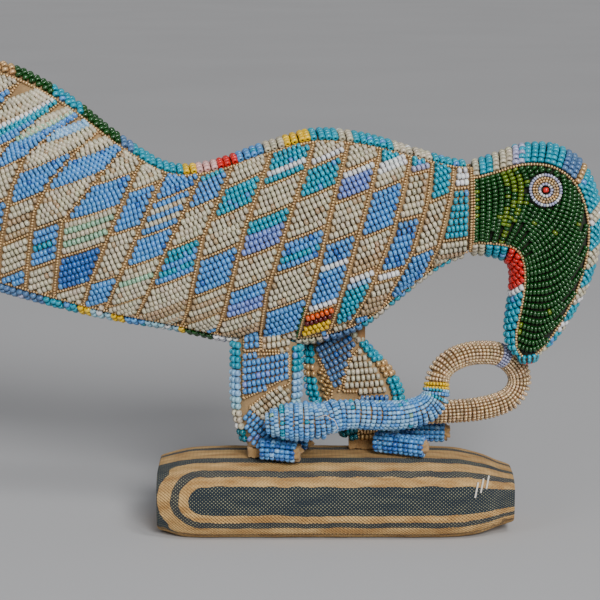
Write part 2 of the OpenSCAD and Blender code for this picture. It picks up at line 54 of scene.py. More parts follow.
def place_camera(aim, distance, elevation, width):
    """Looks along Y at the near side, a little from above."""
    data = bpy.data.cameras.new("camera")
    data.lens = 36 * distance / width
    data.clip_start = 0.01
    data.clip_end = 20
    camera = bpy.data.objects.new("camera", data)
    bpy.context.collection.objects.link(camera)
    up = math.radians(elevation)
    offset = Vector((0, -math.cos(up), math.sin(up))) * distance
    camera.location = Vector(aim) + offset
    camera.rotation_euler = (-offset).to_track_quat("-Z", "Y").to_euler()
    bpy.context.scene.camera = camera


def softbox(name, place, aim, size, watts, colour):
    """A square studio light turned to a point."""
    data = bpy.data.lights.new(name, "AREA")
    data.shape = "RECTANGLE"
    data.size = size[0]
    data.size_y = size[1]
    data.energy = watts
    data.color = colour
    light = bpy.data.objects.new(name, data)
    bpy.context.collection.objects.link(light)
    light.location = place
    light.rotation_euler = (Vector(aim) - Vector(place)).to_track_quat("-Z", "Y").to_euler()


place_camera((-0.0162, 0, 0.1042), 1.0, 10, 0.270)

# ---- Materials ----


def srgb(r, g, b):
    """A colour as it is given, 0 to 255, made linear."""
    c = np.array([r, g, b]) / 255
    return tuple(np.where(c <= 0.04045, c / 12.92, ((c + 0.055) / 1.055) ** 2.4))


class Finish:
    """A node material with helpers that add and join its nodes."""

    def __init__(self, name, roughness=0.5):
        self.material = bpy.data.materials.new(name)
        self.material.use_nodes = True
        self.tree = self.material.node_tree
        self.shader = self.tree.nodes["Principled BSDF"]
        self.fix("Roughness", roughness)
        self.places = self.node("ShaderNodeTexCoord").outputs["Object"]

    def node(self, kind, **facts):
        made = self.tree.nodes.new(kind)
        for name, value in facts.items():
            setattr(made, name, value)
        return made

    def join(self, source, target):
        self.tree.links.new(source, target)

    def fix(self, name, value):
        self.shader.inputs[name].default_value = value

    def feed(self, target, value):
        if hasattr(value, "links"):
            self.join(value, target)
        else:
            target.default_value = value

    def attribute(self, name, output="Color"):
        return self.node("ShaderNodeAttribute", attribute_name=name).outputs[output]

    def sum(self, how, a, b):
        made = self.node("ShaderNodeMath", operation=how)
        self.feed(made.inputs[0], a)
        self.feed(made.inputs[1], b)
        return made.outputs[0]

    def noise(self, scale, detail=2.0, stretch=None):
        made = self.node("ShaderNodeTexNoise")
        made.inputs["Scale"].default_value = scale
        made.inputs["Detail"].default_value = detail
        place = self.places
        if stretch:
            turn = self.node("ShaderNodeMapping")
            turn.inputs["Scale"].default_value = stretch
            self.join(place, turn.inputs["Vector"])
            place = turn.outputs[0]
        self.join(place, made.inputs["Vector"])
        return made.outputs["Fac"]

    def wave(self, axis, scale, distortion=0.0):
        made = self.node("ShaderNodeTexWave", wave_type="BANDS", bands_direction=axis)
        made.inputs["Scale"].default_value = scale
        made.inputs["Distortion"].default_value = distortion
        made.inputs["Detail"].default_value = 1
        self.join(self.places, made.inputs["Vector"])
        return made.outputs["Fac"]

    def ramp(self, value, stops, how="LINEAR"):
        made = self.node("ShaderNodeValToRGB")
        made.color_ramp.interpolation = how
        parts = made.color_ramp.elements
        while len(parts) < len(stops):
            parts.new(0.5)
        for part, (at, colour) in zip(parts, stops):
            part.position = at
            part.color = (*colour, 1) if len(colour) == 3 else colour
        self.join(value, made.inputs[0])
        return made.outputs[0]

    def mix(self, share, a, b, how="MIX"):
        made = self.node("ShaderNodeMix", data_type="RGBA", blend_type=how)
        self.feed(made.inputs[0], share)
        for socket, value in ((made.inputs[6], a), (made.inputs[7], b)):
            if isinstance(value, tuple):
                value = (*value, 1)
            self.feed(socket, value)
        return made.outputs[2]

    def colour(self, value):
        self.join(value, self.shader.inputs["Base Color"])

    def bump(self, height, strength, depth):
        made = self.node("ShaderNodeBump")
        made.inputs["Strength"].default_value = strength
        made.inputs["Distance"].default_value = depth
        self.join(height, made.inputs["Height"])
        self.join(made.outputs[0], self.shader.inputs["Normal"])


def bead_glass(name, roughness, metal=0.0, coat=0.0):
    """Glass beads that each take their own tint, with cloudy streaks and patches of rougher gloss."""
    made = Finish(name, roughness)
    tint = made.attribute("tint")
    cloud = made.ramp(made.noise(420, 3), [(0.3, (0.78, 0.78, 0.78)), (0.7, (1.12, 1.12, 1.12))])
    made.colour(made.mix(1.0, tint, cloud, "MULTIPLY"))
    worn = made.noise(900, 2)
    made.join(
        made.ramp(worn, [(0.35, (roughness,) * 3), (0.7, (roughness + 0.16,) * 3)]),
        made.shader.inputs["Roughness"],
    )
    made.fix("Metallic", metal)
    made.fix("Coat Weight", coat)
    made.fix("Coat Roughness", 0.12)
    return made.material


def plain_cloth(name, dark, light, weave):
    """Hand-spun cotton with a fine over and under weave."""
    made = Finish(name, 0.9)
    across = made.wave("X", weave, 0.6)
    down = made.wave("Z", weave, 0.6)
    threads = made.sum("MULTIPLY", across, down)
    cloud = made.noise(160, 3)
    shade = made.sum("ADD", made.sum("MULTIPLY", threads, 0.6), made.sum("MULTIPLY", cloud, 0.5))
    made.colour(made.ramp(shade, [(0.15, dark), (0.75, light)]))
    made.bump(threads, 0.6, 0.0003)
    made.fix("Sheen Weight", 0.2)
    return made.material


def twisted(name, dark, light, scale):
    """Twisted thread or cord."""
    made = Finish(name, 0.85)
    ply = made.wave("DIAGONAL", scale, 1.0)
    made.colour(made.ramp(ply, [(0.1, dark), (0.8, light)]))
    made.bump(ply, 0.5, 0.0002)
    made.fix("Sheen Weight", 0.25)
    return made.material


def wood(name, dark, light):
    """Raw carved wood with its grain along X."""
    made = Finish(name, 0.62)
    grain = made.noise(70, 6, (0.12, 1.0, 1.0))
    rings = made.noise(14, 3, (0.2, 1.0, 1.0))
    both = made.sum("ADD", made.sum("MULTIPLY", grain, 0.65), made.sum("MULTIPLY", rings, 0.35))
    made.colour(made.ramp(both, [(0.32, dark), (0.66, light)]))
    made.bump(grain, 0.3, 0.0003)
    return made.material


def fluff(name, dark, light):
    """Loose cotton stuffing."""
    made = Finish(name, 0.95)
    tuft = made.noise(240, 6)
    made.colour(made.ramp(tuft, [(0.3, dark), (0.7, light)]))
    made.bump(tuft, 0.9, 0.0008)
    made.fix("Sheen Weight", 0.3)
    return made.material


def iron(name):
    """Dull drawn iron wire."""
    made = Finish(name, 0.45)
    spots = made.noise(320, 5)
    made.colour(made.ramp(spots, [(0.35, srgb(58, 52, 48)), (0.7, srgb(120, 116, 112))]))
    made.fix("Metallic", 0.85)
    return made.material


# Stripes of the cushion's cotton, by distance in mm from the middle of the wide front stripe
STRIPES = [
    (0, "indigo"), (7.2, "tan"), (12.2, "thin"), (16.0, "tan"), (23.0, "indigo"), (29.5, "tan"),
    (44.0, "thin"), (49.0, "tan"), (67.0, "indigo"), (79.0, "tan"), (86.0, "thin"), (90.0, "tan"),
]
# The way round the cushion in mm, and the weave's pitches: round it in mm, along it in m
ROUND = 178.0
WARP_PITCH = 1.6
WEFT_PITCH = 0.0017


def striped_cotton():
    """Natural cotton with indigo stripes along the cushion, dotted where the two threads cross."""
    made = Finish("striped cotton", 0.92)
    across = made.attribute("across", "Fac")
    wobble = made.sum("MULTIPLY", made.sum("SUBTRACT", made.noise(110, 3), 0.5), 3.0)
    where = made.sum("DIVIDE", made.sum("ADD", across, wobble), ROUND)
    tones = {"tan": (0.0,) * 3, "thin": (0.96,) * 3, "indigo": (1.0,) * 3}
    dye = made.ramp(where, [(at / ROUND, tones[kind]) for at, kind in STRIPES], "CONSTANT")
    warp = made.node("ShaderNodeMath", operation="SINE")
    up = made.attribute("round", "Fac")
    made.join(made.sum("MULTIPLY", up, 2 * math.pi / WARP_PITCH), warp.inputs[0])
    split = made.node("ShaderNodeSeparateXYZ")
    made.join(made.places, split.inputs[0])
    weft = made.node("ShaderNodeMath", operation="SINE")
    shift = made.sum("MULTIPLY", made.noise(160, 2), 3.5)
    run = made.sum("ADD", made.sum("MULTIPLY", split.outputs[0], 2 * math.pi / WEFT_PITCH), shift)
    made.join(run, weft.inputs[0])
    cross = made.sum("MULTIPLY", warp.outputs[0], weft.outputs[0])
    slub = made.noise(300, 4, (0.25, 1.0, 1.0))
    fleck = made.sum("GREATER_THAN", made.sum("ADD", cross, made.sum("MULTIPLY", slub, 1.3)), 1.3)
    natural = made.mix(
        made.ramp(slub, [(0.35, (0,) * 3), (0.7, (1,) * 3)]), srgb(186, 138, 74), srgb(236, 192, 122)
    )
    natural = made.mix(made.sum("MULTIPLY", weft.outputs[0], 0.16), natural, srgb(128, 96, 58))
    indigo = made.mix(fleck, srgb(14, 36, 50), srgb(158, 156, 124))
    made.colour(made.mix(dye, natural, indigo))
    made.bump(made.sum("ADD", cross, made.sum("MULTIPLY", slub, 1.4)), 0.9, 0.0006)
    made.fix("Sheen Weight", 0.08)
    made.fix("Sheen Roughness", 0.6)
    return made.material


def studio_floor():
    """Pale matte paper under the figure."""
    made = Finish("pale floor", 0.9)
    made.colour(made.ramp(made.noise(3, 2), [(0.3, srgb(182, 183, 186)), (0.7, srgb(186, 187, 190))]))
    return made.material


GLASS = bead_glass("opaque glass beads", 0.2, 0.0, 0.35)
GREEN_GLASS = bead_glass("green glass beads", 0.12, 0.0, 0.6)
GOLD_GLASS = bead_glass("gold lined glass beads", 0.26, 0.45, 0.3)
SMALL_GLASS = bead_glass("small white glass beads", 0.2, 0.15, 0.3)
BEAD_CLOTH = plain_cloth("bead cloth", srgb(120, 92, 58), srgb(214, 178, 128), 900)
# Near-black green cloth under the head's green rows and the beak's tip: painted shade for the dark gaps
# between those beads.
PAINTED_SHADE_CLOTH = plain_cloth("bead cloth with painted shade", srgb(10, 22, 8), srgb(40, 46, 18), 900)
STUMP_CLOTH = plain_cloth("foot cloth", srgb(126, 90, 50), srgb(214, 174, 116), 700)
WOOD = wood("carved wood", srgb(104, 70, 40), srgb(178, 134, 86))
PALM = wood("palm ribs", srgb(140, 112, 60), srgb(200, 172, 110))
CORD = twisted("cotton cord", srgb(132, 108, 74), srgb(206, 184, 144), 700)
THREAD = twisted("white thread", srgb(196, 190, 178), srgb(240, 236, 226), 1500)
STUFFING = fluff("cotton stuffing", srgb(196, 186, 164), srgb(236, 230, 214))
IRON = iron("iron wire")
COTTON = striped_cotton()

# ---- The bird's form, in millimetres ----

# Each station joins a point on the back to a point on the belly, with half the thickness there.
STATIONS = np.array([
    (-205, 174, -203, 156, 5.5),
    (-200, 190, -195, 138, 7.5),
    (-187, 206, -183, 123, 8.5),
    (-168, 213, -166, 113, 9.5),
    (-145, 211, -146, 106, 11),
    (-120, 198, -120, 99, 13.5),
    (-97, 180, -97, 94, 17),
    (-75, 167, -73, 90, 20),
    (-55, 168, -50, 85, 22.5),
    (-32, 176, -28, 83, 25.5),
    (-10, 182, -6, 85, 27),
    (12, 180, 12, 91.5, 25.5),
    (33, 174, 30, 106, 21),
    (50, 169, 47, 119, 17),
    (60, 168, 60, 124, 15.5),
    (70, 171, 69, 123.5, 16),
    (84, 175.5, 75, 121.5, 16.5),
    (99, 174.5, 77.5, 118.5, 16.5),
    (111, 166, 78, 114, 15.5),
    (118, 149, 77.5, 108, 14),
    (118.5, 131, 76.5, 101, 12),
    (114.5, 114, 75.5, 94, 10),
    (107, 98, 75.5, 87.5, 8),
    (99, 86, 77.5, 82, 6),
    (92, 79.5, 82, 78, 4.8),
], float)
NECK = 14.0
BEAK = 24.0
BODY_EDGE = 67.5
HEAD_EDGE = 45.0

# Legs: front x, z, rear x, z and half thickness, from the top down
REAR_LEG = np.array([
    (-15, 100, -44, 100, 7.5), (-14.5, 90, -47.5, 90, 7.5), (-14.5, 76, -48, 76, 7.5),
    (-15, 62, -48, 62, 7.5), (-18, 51, -46.5, 51, 7.5), (-21, 39, -43, 39, 7.5),
], float)
FRONT_LEG = np.array([
    (4, 99, -12, 99, 7.5), (10, 89, -14, 89, 7.5), (19, 79, -15, 79, 7.5),
    (27, 70, -15, 70, 7.5), (32, 59, -13.5, 59, 7.5), (29, 49, -6, 49, 7.5), (22, 39, 3, 39, 7.5),
], float)
LEG_Y = 8.2

# Snake: x, y, z, half height and half width, from its head to the tail's tip
SNAKE = np.array([
    (-31.5, -25.3, 53, 4.4, 3.85), (-28, -25.3, 53.5, 7.7, 6.38), (-22, -25.3, 54, 10.12, 8.36),
    (-15, -25.3, 54, 11, 9.02), (-8, -24.7, 54.5, 9.9, 8.47), (-1, -23.1, 56, 7.6, 7.3),
    (7, -21.6, 56.5, 6.8, 6.8), (15, -20.1, 55.8, 6.8, 6.8), (24, -16.7, 54.8, 6.8, 6.8),
    (32, -13.8, 54.8, 6.8, 6.8), (39.5, -11.9, 56.6, 6.8, 6.8), (44, -10.3, 60.5, 6.6, 6.6),
    (45, -9.2, 65, 6.2, 6.2), (45.3, -8.4, 68.4, 5.9, 5.9), (46.8, -7.2, 73, 5.6, 5.6),
    (51.5, -5.3, 77.3, 5.6, 5.6), (58.5, -2, 79.6, 5.6, 5.6), (66, 1.7, 79.8, 5.6, 5.6),
    (73.5, 5.8, 78.3, 5.6, 5.6), (79.8, 9.4, 74.2, 5.6, 5.6), (83.8, 11, 68.5, 5.6, 5.6),
    (84, 11, 62.3, 5.6, 5.6), (80, 10, 56.8, 5.6, 5.6), (72.5, 8.3, 53.8, 5.6, 5.6),
    (63, 6.3, 52.3, 5.6, 5.6), (53, 4.9, 51.8, 5.6, 5.6), (45, 3.9, 51.6, 5.6, 5.6),
    (37, 3.3, 51.5, 5.6, 5.6),
], float)

TOES = {
    "rear_toe_near": [(-34, -17.9, 39.7), (-27, -18.9, 39.5), (-18, -20.9, 38.9)],
    "rear_toe_far": [(-34, 1.5, 39.5), (-24, 1.5, 39.3), (-13, 2.5, 39.1)],
    "front_toe_near": [(18, -3.5, 39.7), (27, -7.5, 39.6), (39, -11.5, 39.1)],
    "front_toe_far": [(20, 17.9, 39.5), (34, 18.4, 39.3), (51, 17.9, 39.1)],
}


def spline(rows, s):
    """A smooth curve through rows, at places s counted in rows."""
    last = len(rows) - 1
    s = np.atleast_1d(np.asarray(s, float))
    i = np.clip(np.floor(s).astype(int), 0, last - 1)
    t = (s - i)[:, None]
    a = rows[np.maximum(i - 1, 0)]
    b = rows[i]
    c = rows[i + 1]
    d = rows[np.minimum(i + 2, last)]
    return 0.5 * (
        2 * b + (c - a) * t + (2 * a - 5 * b + 4 * c - d) * t**2 + (3 * b - a - 3 * c + d) * t**3
    )


def unit(v):
    return v / np.maximum(np.linalg.norm(v, axis=-1, keepdims=True), 1e-9)


def running(steps):
    """How far along each point of a path lies, from the steps between them."""
    return np.concatenate([[0], np.cumsum(steps)])


def run_along(points):
    return running(np.linalg.norm(np.diff(points, axis=0), axis=1))


def read_at(at, run, table):
    """The rows of a table at places along a path."""
    return np.stack([np.interp(at, run, column) for column in table.T], 1)


def stretches(keep, least):
    """The unbroken stretches of a path with more than a few points."""
    found = np.flatnonzero(keep)
    parts = np.split(found, np.flatnonzero(np.diff(found) > 1) + 1)
    return [part for part in parts if len(part) > least]


def corners_of(verts):
    return np.array([v.co[:] for v in verts])


def to_mesh(name, bm, smooth=True):
    """Makes a mesh of a form and lets the form go."""
    me = bpy.data.meshes.new(name)
    bm.to_mesh(me)
    bm.free()
    for p in me.polygons:
        p.use_smooth = smooth
    return me


def skin(rows, s, angle, out, y=0.0):
    """Points of a stuffed form at station s and an angle round it: 90 at its back, 0 at Y+."""
    row = spline(rows, s)
    back = row[:, 0:2]
    belly = row[:, 2:4]
    span = back - belly
    high = np.linalg.norm(span, axis=1) / 2
    rise = np.sin(np.radians(angle))
    side = np.cos(np.radians(angle))
    flat = (back + belly) / 2 + unit(span) * ((high + out) * rise)[:, None]
    return np.stack([flat[:, 0], y + (row[:, 4] + out) * side, flat[:, 1]], 1)


def on_skin(rows, s, angle, out, y=0.0):
    """A point of the form and the way out of it."""
    point = skin(rows, s, angle, out, y)
    return point, unit(skin(rows, s, angle, out + 0.5, y) - point)


def on_side(side, s, angle, out):
    """A point on one side of the bird and the way out of it."""
    return [found * (1, side, 1) for found in on_skin(STATIONS, s, angle, out)]


def find_place(rows, x, z, first, last):
    """The station and the angle at which a form has the side view point x, z."""
    s = np.linspace(first, last, int((last - first) * 24) + 1)
    row = spline(rows, s)
    span = row[:, 0:2] - row[:, 2:4]
    high = np.linalg.norm(span, axis=1) / 2
    up = unit(span)
    middle = (row[:, 0:2] + row[:, 2:4]) / 2
    off = np.stack([x, z], 1)[:, None, :] - middle[None]
    ahead = off[:, :, 0] * up[None, :, 1] - off[:, :, 1] * up[None, :, 0]
    k = np.clip((ahead > 0).sum(1) - 1, 0, len(s) - 2)
    n = np.arange(len(x))
    a0 = ahead[n, k]
    a1 = ahead[n, k + 1]
    t = np.clip(a0 / np.where(np.abs(a0 - a1) < 1e-9, 1, a0 - a1), 0, 1)
    rise = (off * up[None]).sum(2)
    w = (rise[n, k] * (1 - t) + rise[n, k + 1] * t) / (high[k] * (1 - t) + high[k + 1] * t)
    return s[k] + t * (s[1] - s[0]), w


# ---- Beads ----

COLOURS = {
    "g": srgb(194, 186, 162), "G": srgb(172, 148, 116), "w": srgb(226, 228, 230),
    "l": srgb(168, 172, 206), "b": srgb(84, 148, 210), "B": srgb(48, 104, 178),
    # T is turquoise darkened as painted shade, used only low down: under the chest, on the front leg
    # behind the snake and at the legs' feet.
    "p": srgb(118, 142, 208), "t": srgb(20, 154, 180), "T": srgb(10, 106, 122),
    "s": srgb(84, 120, 164), "k": srgb(138, 186, 224), "y": srgb(232, 190, 20),
    "r": srgb(214, 34, 28), "m": srgb(92, 16, 20), "o": srgb(232, 92, 24),
    "n": srgb(16, 72, 20), "e": srgb(148, 190, 160), "a": srgb(214, 176, 124),
    "v": srgb(96, 122, 22), "q": srgb(150, 196, 214), "i": srgb(222, 176, 172),
    "c": srgb(228, 198, 158), "u": srgb(196, 160, 104),
}
KIND = {}
for kind, letters in (
    ("gray", "gG"), ("white", "wli"), ("blue", "bBps"), ("turquoise", "tT"), ("light_blue", "kq"),
    ("yellow", "y"), ("red", "rmo"), ("green", "nev"), ("tan", "acu"),
):
    for letter in letters:
        KIND[letter] = kind


def bead_shape(sides):
    """One bored bead along X: one in radius and one in half length."""
    bm = bmesh.new()
    outline = [(-1, 0.42), (-0.58, 1), (0.58, 1), (1, 0.42)]
    ring = [bm.verts.new((x, r, 0)) for x, r in outline]
    edges = [bm.edges.new((ring[i], ring[(i + 1) % 4])) for i in range(4)]
    bmesh.ops.spin(
        bm, geom=ring + edges, cent=(0, 0, 0), axis=(1, 0, 0), dvec=(0, 0, 0),
        angle=2 * math.pi, steps=sides, use_merge=True, use_duplicate=False,
    )
    bmesh.ops.remove_doubles(bm, verts=bm.verts, dist=1e-5)
    bmesh.ops.recalc_face_normals(bm, faces=bm.faces)
    bm.verts.index_update()
    verts = np.array([v.co[:] for v in bm.verts])
    faces = np.array([[v.index for v in f.verts] for f in bm.faces])
    bm.free()
    return verts, faces


BIG_BEAD = bead_shape(8)
SMALL_BEAD = bead_shape(6)


class Tray:
    """Beads waiting to be made into pieces, sorted by what they are and where they go."""

    def __init__(self):
        self.sorts = {}

    def add(self, sort, centres, ways, outs, radius, half, letters):
        """Puts down beads with their centres, the ways of their threads and the ways out."""
        n = len(centres)
        if n == 0:
            return
        tint = np.array([COLOURS[c] for c in letters])
        tone = rng.normal(1.0, 0.07, (n, 1)) * rng.normal(1.0, 0.02, (n, 3))
        facts = np.column_stack([
            centres, unit(ways + rng.normal(0, 0.05, (n, 3))), outs,
            radius * rng.normal(1, 0.025, n), half * rng.normal(1, 0.05, n),
            np.clip(tint * tone, 0.002, 0.95),
        ])
        self.sorts.setdefault(sort, []).append(facts)

    def take(self, sort):
        return np.concatenate(self.sorts.pop(sort))


tray = Tray()


def mesh_of_beads(name, facts, shape):
    """One mesh of many copies of a bead."""
    verts, faces = shape
    n = len(facts)
    centre = facts[:, None, 0:3]
    way = facts[:, 3:6]
    side = unit(np.cross(way, facts[:, 6:9]))
    roll = rng.uniform(0, 2 * math.pi, (n, 1))
    top = np.cross(side, way)
    first = side * np.cos(roll) + top * np.sin(roll)
    second = np.cross(way, first)
    radius = facts[:, 9, None, None]
    half = facts[:, 10, None, None]
    points = (
        centre
        + half * way[:, None] * verts[None, :, 0:1]
        + radius * first[:, None] * verts[None, :, 1:2]
        + radius * second[:, None] * verts[None, :, 2:3]
    )
    me = bpy.data.meshes.new(name)
    me.vertices.add(n * len(verts))
    me.vertices.foreach_set("co", (points * MM).ravel())
    links = (faces[None] + (np.arange(n) * len(verts))[:, None, None]).ravel()
    me.loops.add(len(links))
    me.loops.foreach_set("vertex_index", links)
    me.polygons.add(n * len(faces))
    me.polygons.foreach_set("loop_start", np.arange(0, len(links), 4))
    me.polygons.foreach_set("use_smooth", np.ones(n * len(faces), bool))
    me.update(calc_edges=True)
    tint = me.color_attributes.new("tint", "FLOAT_COLOR", "POINT")
    colours = np.concatenate([facts[:, 11:14], np.ones((n, 1))], 1)
    tint.data.foreach_set("color", np.repeat(colours, len(verts), axis=0).ravel())
    return me


def show(name, me, material, slot, *nodes):
    """Makes a finished piece of a mesh and hides the nodes that it stands for."""
    piece = bpy.data.objects.new(name, me)
    bpy.context.collection.objects.link(piece)
    me.materials.append(material)
    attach(piece, BODY)
    if nodes:
        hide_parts(*nodes)
    return piece


def make_pieces(place, nodes, shape=BIG_BEAD, finish=None):
    """Makes one piece of each bead colour that lies in a place."""
    for sort in sorted(k for k in tray.sorts if k[0] == place):
        facts = tray.take(sort)
        kind = sort[1]
        name = f"{kind}_{place}"
        me = mesh_of_beads(name, facts, shape)
        material = finish or (GREEN_GLASS if kind == "green" else GLASS)
        if kind == "tan":
            material = GOLD_GLASS
        show(name, me, material, f"{kind}_beads", *nodes)


def thread_beads(points, outs, pitch, start=0.0):
    """Spaces beads evenly along a path: their centres, ways, ways out and places along it."""
    run = run_along(points)
    length = run[-1]
    n = int(round((length - start) / pitch))
    if n < 1:
        return None
    at = start + (np.arange(n) + 0.5) * (length - start) / n
    way = unit(read_at(at + 0.3, run, points) - read_at(at - 0.3, run, points))
    return read_at(at, run, points), way, unit(read_at(at, run, outs)), at / length


def string_beads(place, points, outs, pitch, radius, half, letters, start=0.0):
    """Strings beads along a path. letters is one colour, or a call that gives one for each."""
    laid = thread_beads(points, outs, pitch, start)
    if laid is None:
        return
    centres, ways, out, share = laid
    chosen = letters(centres, share) if callable(letters) else [letters] * len(centres)
    chosen = np.array(list(chosen))
    for kind in sorted({KIND[c] for c in chosen}):
        mask = np.array([KIND[c] == kind for c in chosen])
        tray.add((place, kind), centres[mask], ways[mask], out[mask], radius, half, chosen[mask])


# ---- Rows of beads on the body's sides ----

ROW = 3.35
FIELD_BEAD = (1.42, 1.0)
FIELD_DEPTH = -1.78
BEAD_PITCH = 2.12
LINE_BEAD = (0.68, 0.55)
LINE_PITCH = 1.3
LINE_DEPTH = -2.0

# Steep tan lines that part the columns: x at a few heights, from the tail to the neck
LINES = [
    [(100, -214), (150, -196), (212, -168)],
    [(100, -196), (150, -180), (214, -151)],
    [(110, -178), (150, -165), (190, -150), (214, -133)],
    [(100, -164), (150, -158), (168, -151), (177, -144), (192, -126), (204, -112)],
    [(100, -153), (127, -150), (155, -144), (170, -138), (183, -124), (194, -106)],
    [(96, -141), (114, -138.5), (145, -134), (159, -127), (172, -116), (188, -100)],
    [(92, -128), (111, -125.5), (141, -121.5), (159, -107.5), (174, -95)],
    [(92, -116), (110, -110.5), (136, -100.5), (163, -89.5), (172, -85)],
    [(88, -108), (113, -97.5), (135, -88.5), (158, -79), (170, -72)],
    [(84, -95), (107, -84.5), (130, -75), (161, -61.5), (174, -55)],
    [(82, -73), (101, -66), (136, -59), (153, -52), (176, -43)],
    [(80, -57), (98, -50.5), (140, -40.5), (174, -29), (180, -27)],
    [(80, -35), (110, -31), (147, -20.5), (180, -9.5), (186, -7)],
    [(82, -18), (95, -15.5), (122, -8.5), (160, 0), (184, 6.5)],
    [(84, -6), (92, -2.5), (107, 1.5), (134, 8.5), (178, 20), (184, 22)],
    [(90, 4), (107, 13), (138, 24.5), (175, 33.5), (180, 35)],
    [(100, 20), (127, 33), (151, 39.5), (172, 43)],
    [(112, 38), (130, 45), (159, 51), (172, 52.5)],
    [(118, 59.3), (150, 59.6), (172, 59.7)],
]
# The line past the tail's end that shuts off its last column
TAIL_LINE = [(100, -212), (150, -208), (190, -210), (212, -200)]
# What fills each column from the back down: a letter is a row, a stroke a tan string across
COLUMNS = [
    "ggg/bbbb/ggggg/tttt/ggggg/bbb/ggg",
    "gg/tttt/ggggg/bbbbb/gggg/bbbb/gg",
    "ggg/bbbb/gggg/wttb/ggggg/bbbb/ggg",
    "gggg/wttbb/ggggg/bbbbl/ggggg/bbb",
    "ggege/bbbbb/ggggg/bbbb/ggggg/bbbb",
    "kk/ggggg/bbbbb/ggGgG/gggg/bbb",
    "gg/bbbbb/gggggg/bbtbb/gggg/bbb",
    "gggg/bbbbb/gegeg/BBBBB/ggg/bbb",
    "ggg/bbbbbb/ggggggg/bbbb/ggg",
    "bbb/bgbgb/bbbb/ggeggg/gggG/bbb",
    "tbbbb/ggggg/ttbtb/ggggGG/gGg/bb",
    "ggg/tttt/ggggg/bbbbb/gGgG/ggg/bb",
    "tttwt/gggg/ttppp/gggg/bbpp/ggGG/bb",
    "ggw/tttt/ggggg/bbtb/ggggg/bbbbb/gg",
    "ggg/wppp/ggggg/bbbwbbbbbw/omyy/bb",
    "twwgg/bbbbbb/gggGG/wktttttt/ggggggg",
    "tl/gggggg/bbbbbbb/w/ggGGG/bBB/gg",
    # The last rows, TT, are turquoise with painted shade under the chest.
    "ttttt/ggggggg/bbbbbbb/gGG/TT",
    "www/ttttttt/ggGgG/gg",
]
# How steeply the rows of each column run, in degrees
SLOPES = [26, 26, 26, 26, 24, 22, 20, 20, 22, 24, 24, 22, 22, 20, 20, 12, 20, 5]
# Other beads that stray into a row of each colour
FIELD_SPARE = {"g": "G", "b": "B", "t": "b", "B": "b"}
LEG_SPARE = {"g": "G", "b": "p", "s": "B", "q": "k"}
BAND_SPARE = {"t": "b", "g": "w", "l": "t", "s": "l", "q": "w", "b": "t", "w": "l"}
BODY_TOP = 216
BODY_FOOT = 78
# Room that a tan string takes across a column, and room left at the ends of strings and rows
CROSS_ROW = 2.1
CROSS_GAP = 0.9
ROW_GAP = 1.25
ROW_BOW = 0.004
# The line with a dark string beside it, up to a height
DARK_LINE = 13
DARK_TOP = 104


def line_x(line, z):
    """Where a steep line is at height z, carried on straight past its ends."""
    heights = [p[0] for p in line]
    places = [p[1] for p in line]
    low = (places[1] - places[0]) / (heights[1] - heights[0])
    high = (places[-1] - places[-2]) / (heights[-1] - heights[-2])
    inside = np.interp(z, heights, places)
    inside = np.where(z < heights[0], places[0] + low * (z - heights[0]), inside)
    return np.where(z > heights[-1], places[-1] + high * (z - heights[-1]), inside)


def body_place(side):
    """Gives the points of one side of the body for places in the side view."""

    def place(x, z, depth):
        s, w = find_place(STATIONS, x, z, 0, NECK - 0.06)
        angle = np.degrees(np.arcsin(np.clip(w, -1, 1)))
        point, out = on_side(side, s, angle, depth)
        inside = (np.abs(angle) < BODY_EDGE - 1.5) & (np.abs(w) < 1) & (s > 0.05) & (s < 13.88)
        return point, out, inside

    return place


def lay_line(where, place, x, z, depth, letter="a"):
    """Sews one string of small tan beads along a path in the side view."""
    point, out, inside = place(x, z, depth)
    if inside.sum() > 4:
        keep = np.flatnonzero(inside)
        keep = slice(keep[0], keep[-1] + 1)
        string_beads(where, point[keep], out[keep], LINE_PITCH, *LINE_BEAD, letter)


def skin_line(where, side, s, angle, depth):
    """Sews one string of small tan beads along the skin of the bird."""
    s, angle = np.array(np.broadcast_arrays(s, angle), float)
    point, out = on_side(side, s, angle, depth)
    string_beads(where, point, out, LINE_PITCH, *LINE_BEAD, "a")


def mixed(letter, spare, share):
    """A row that now and then takes a bead of another colour."""

    def choose(centres, places):
        odd = rng.random(len(centres)) < share
        return [spare if o else letter for o in odd]

    return choose


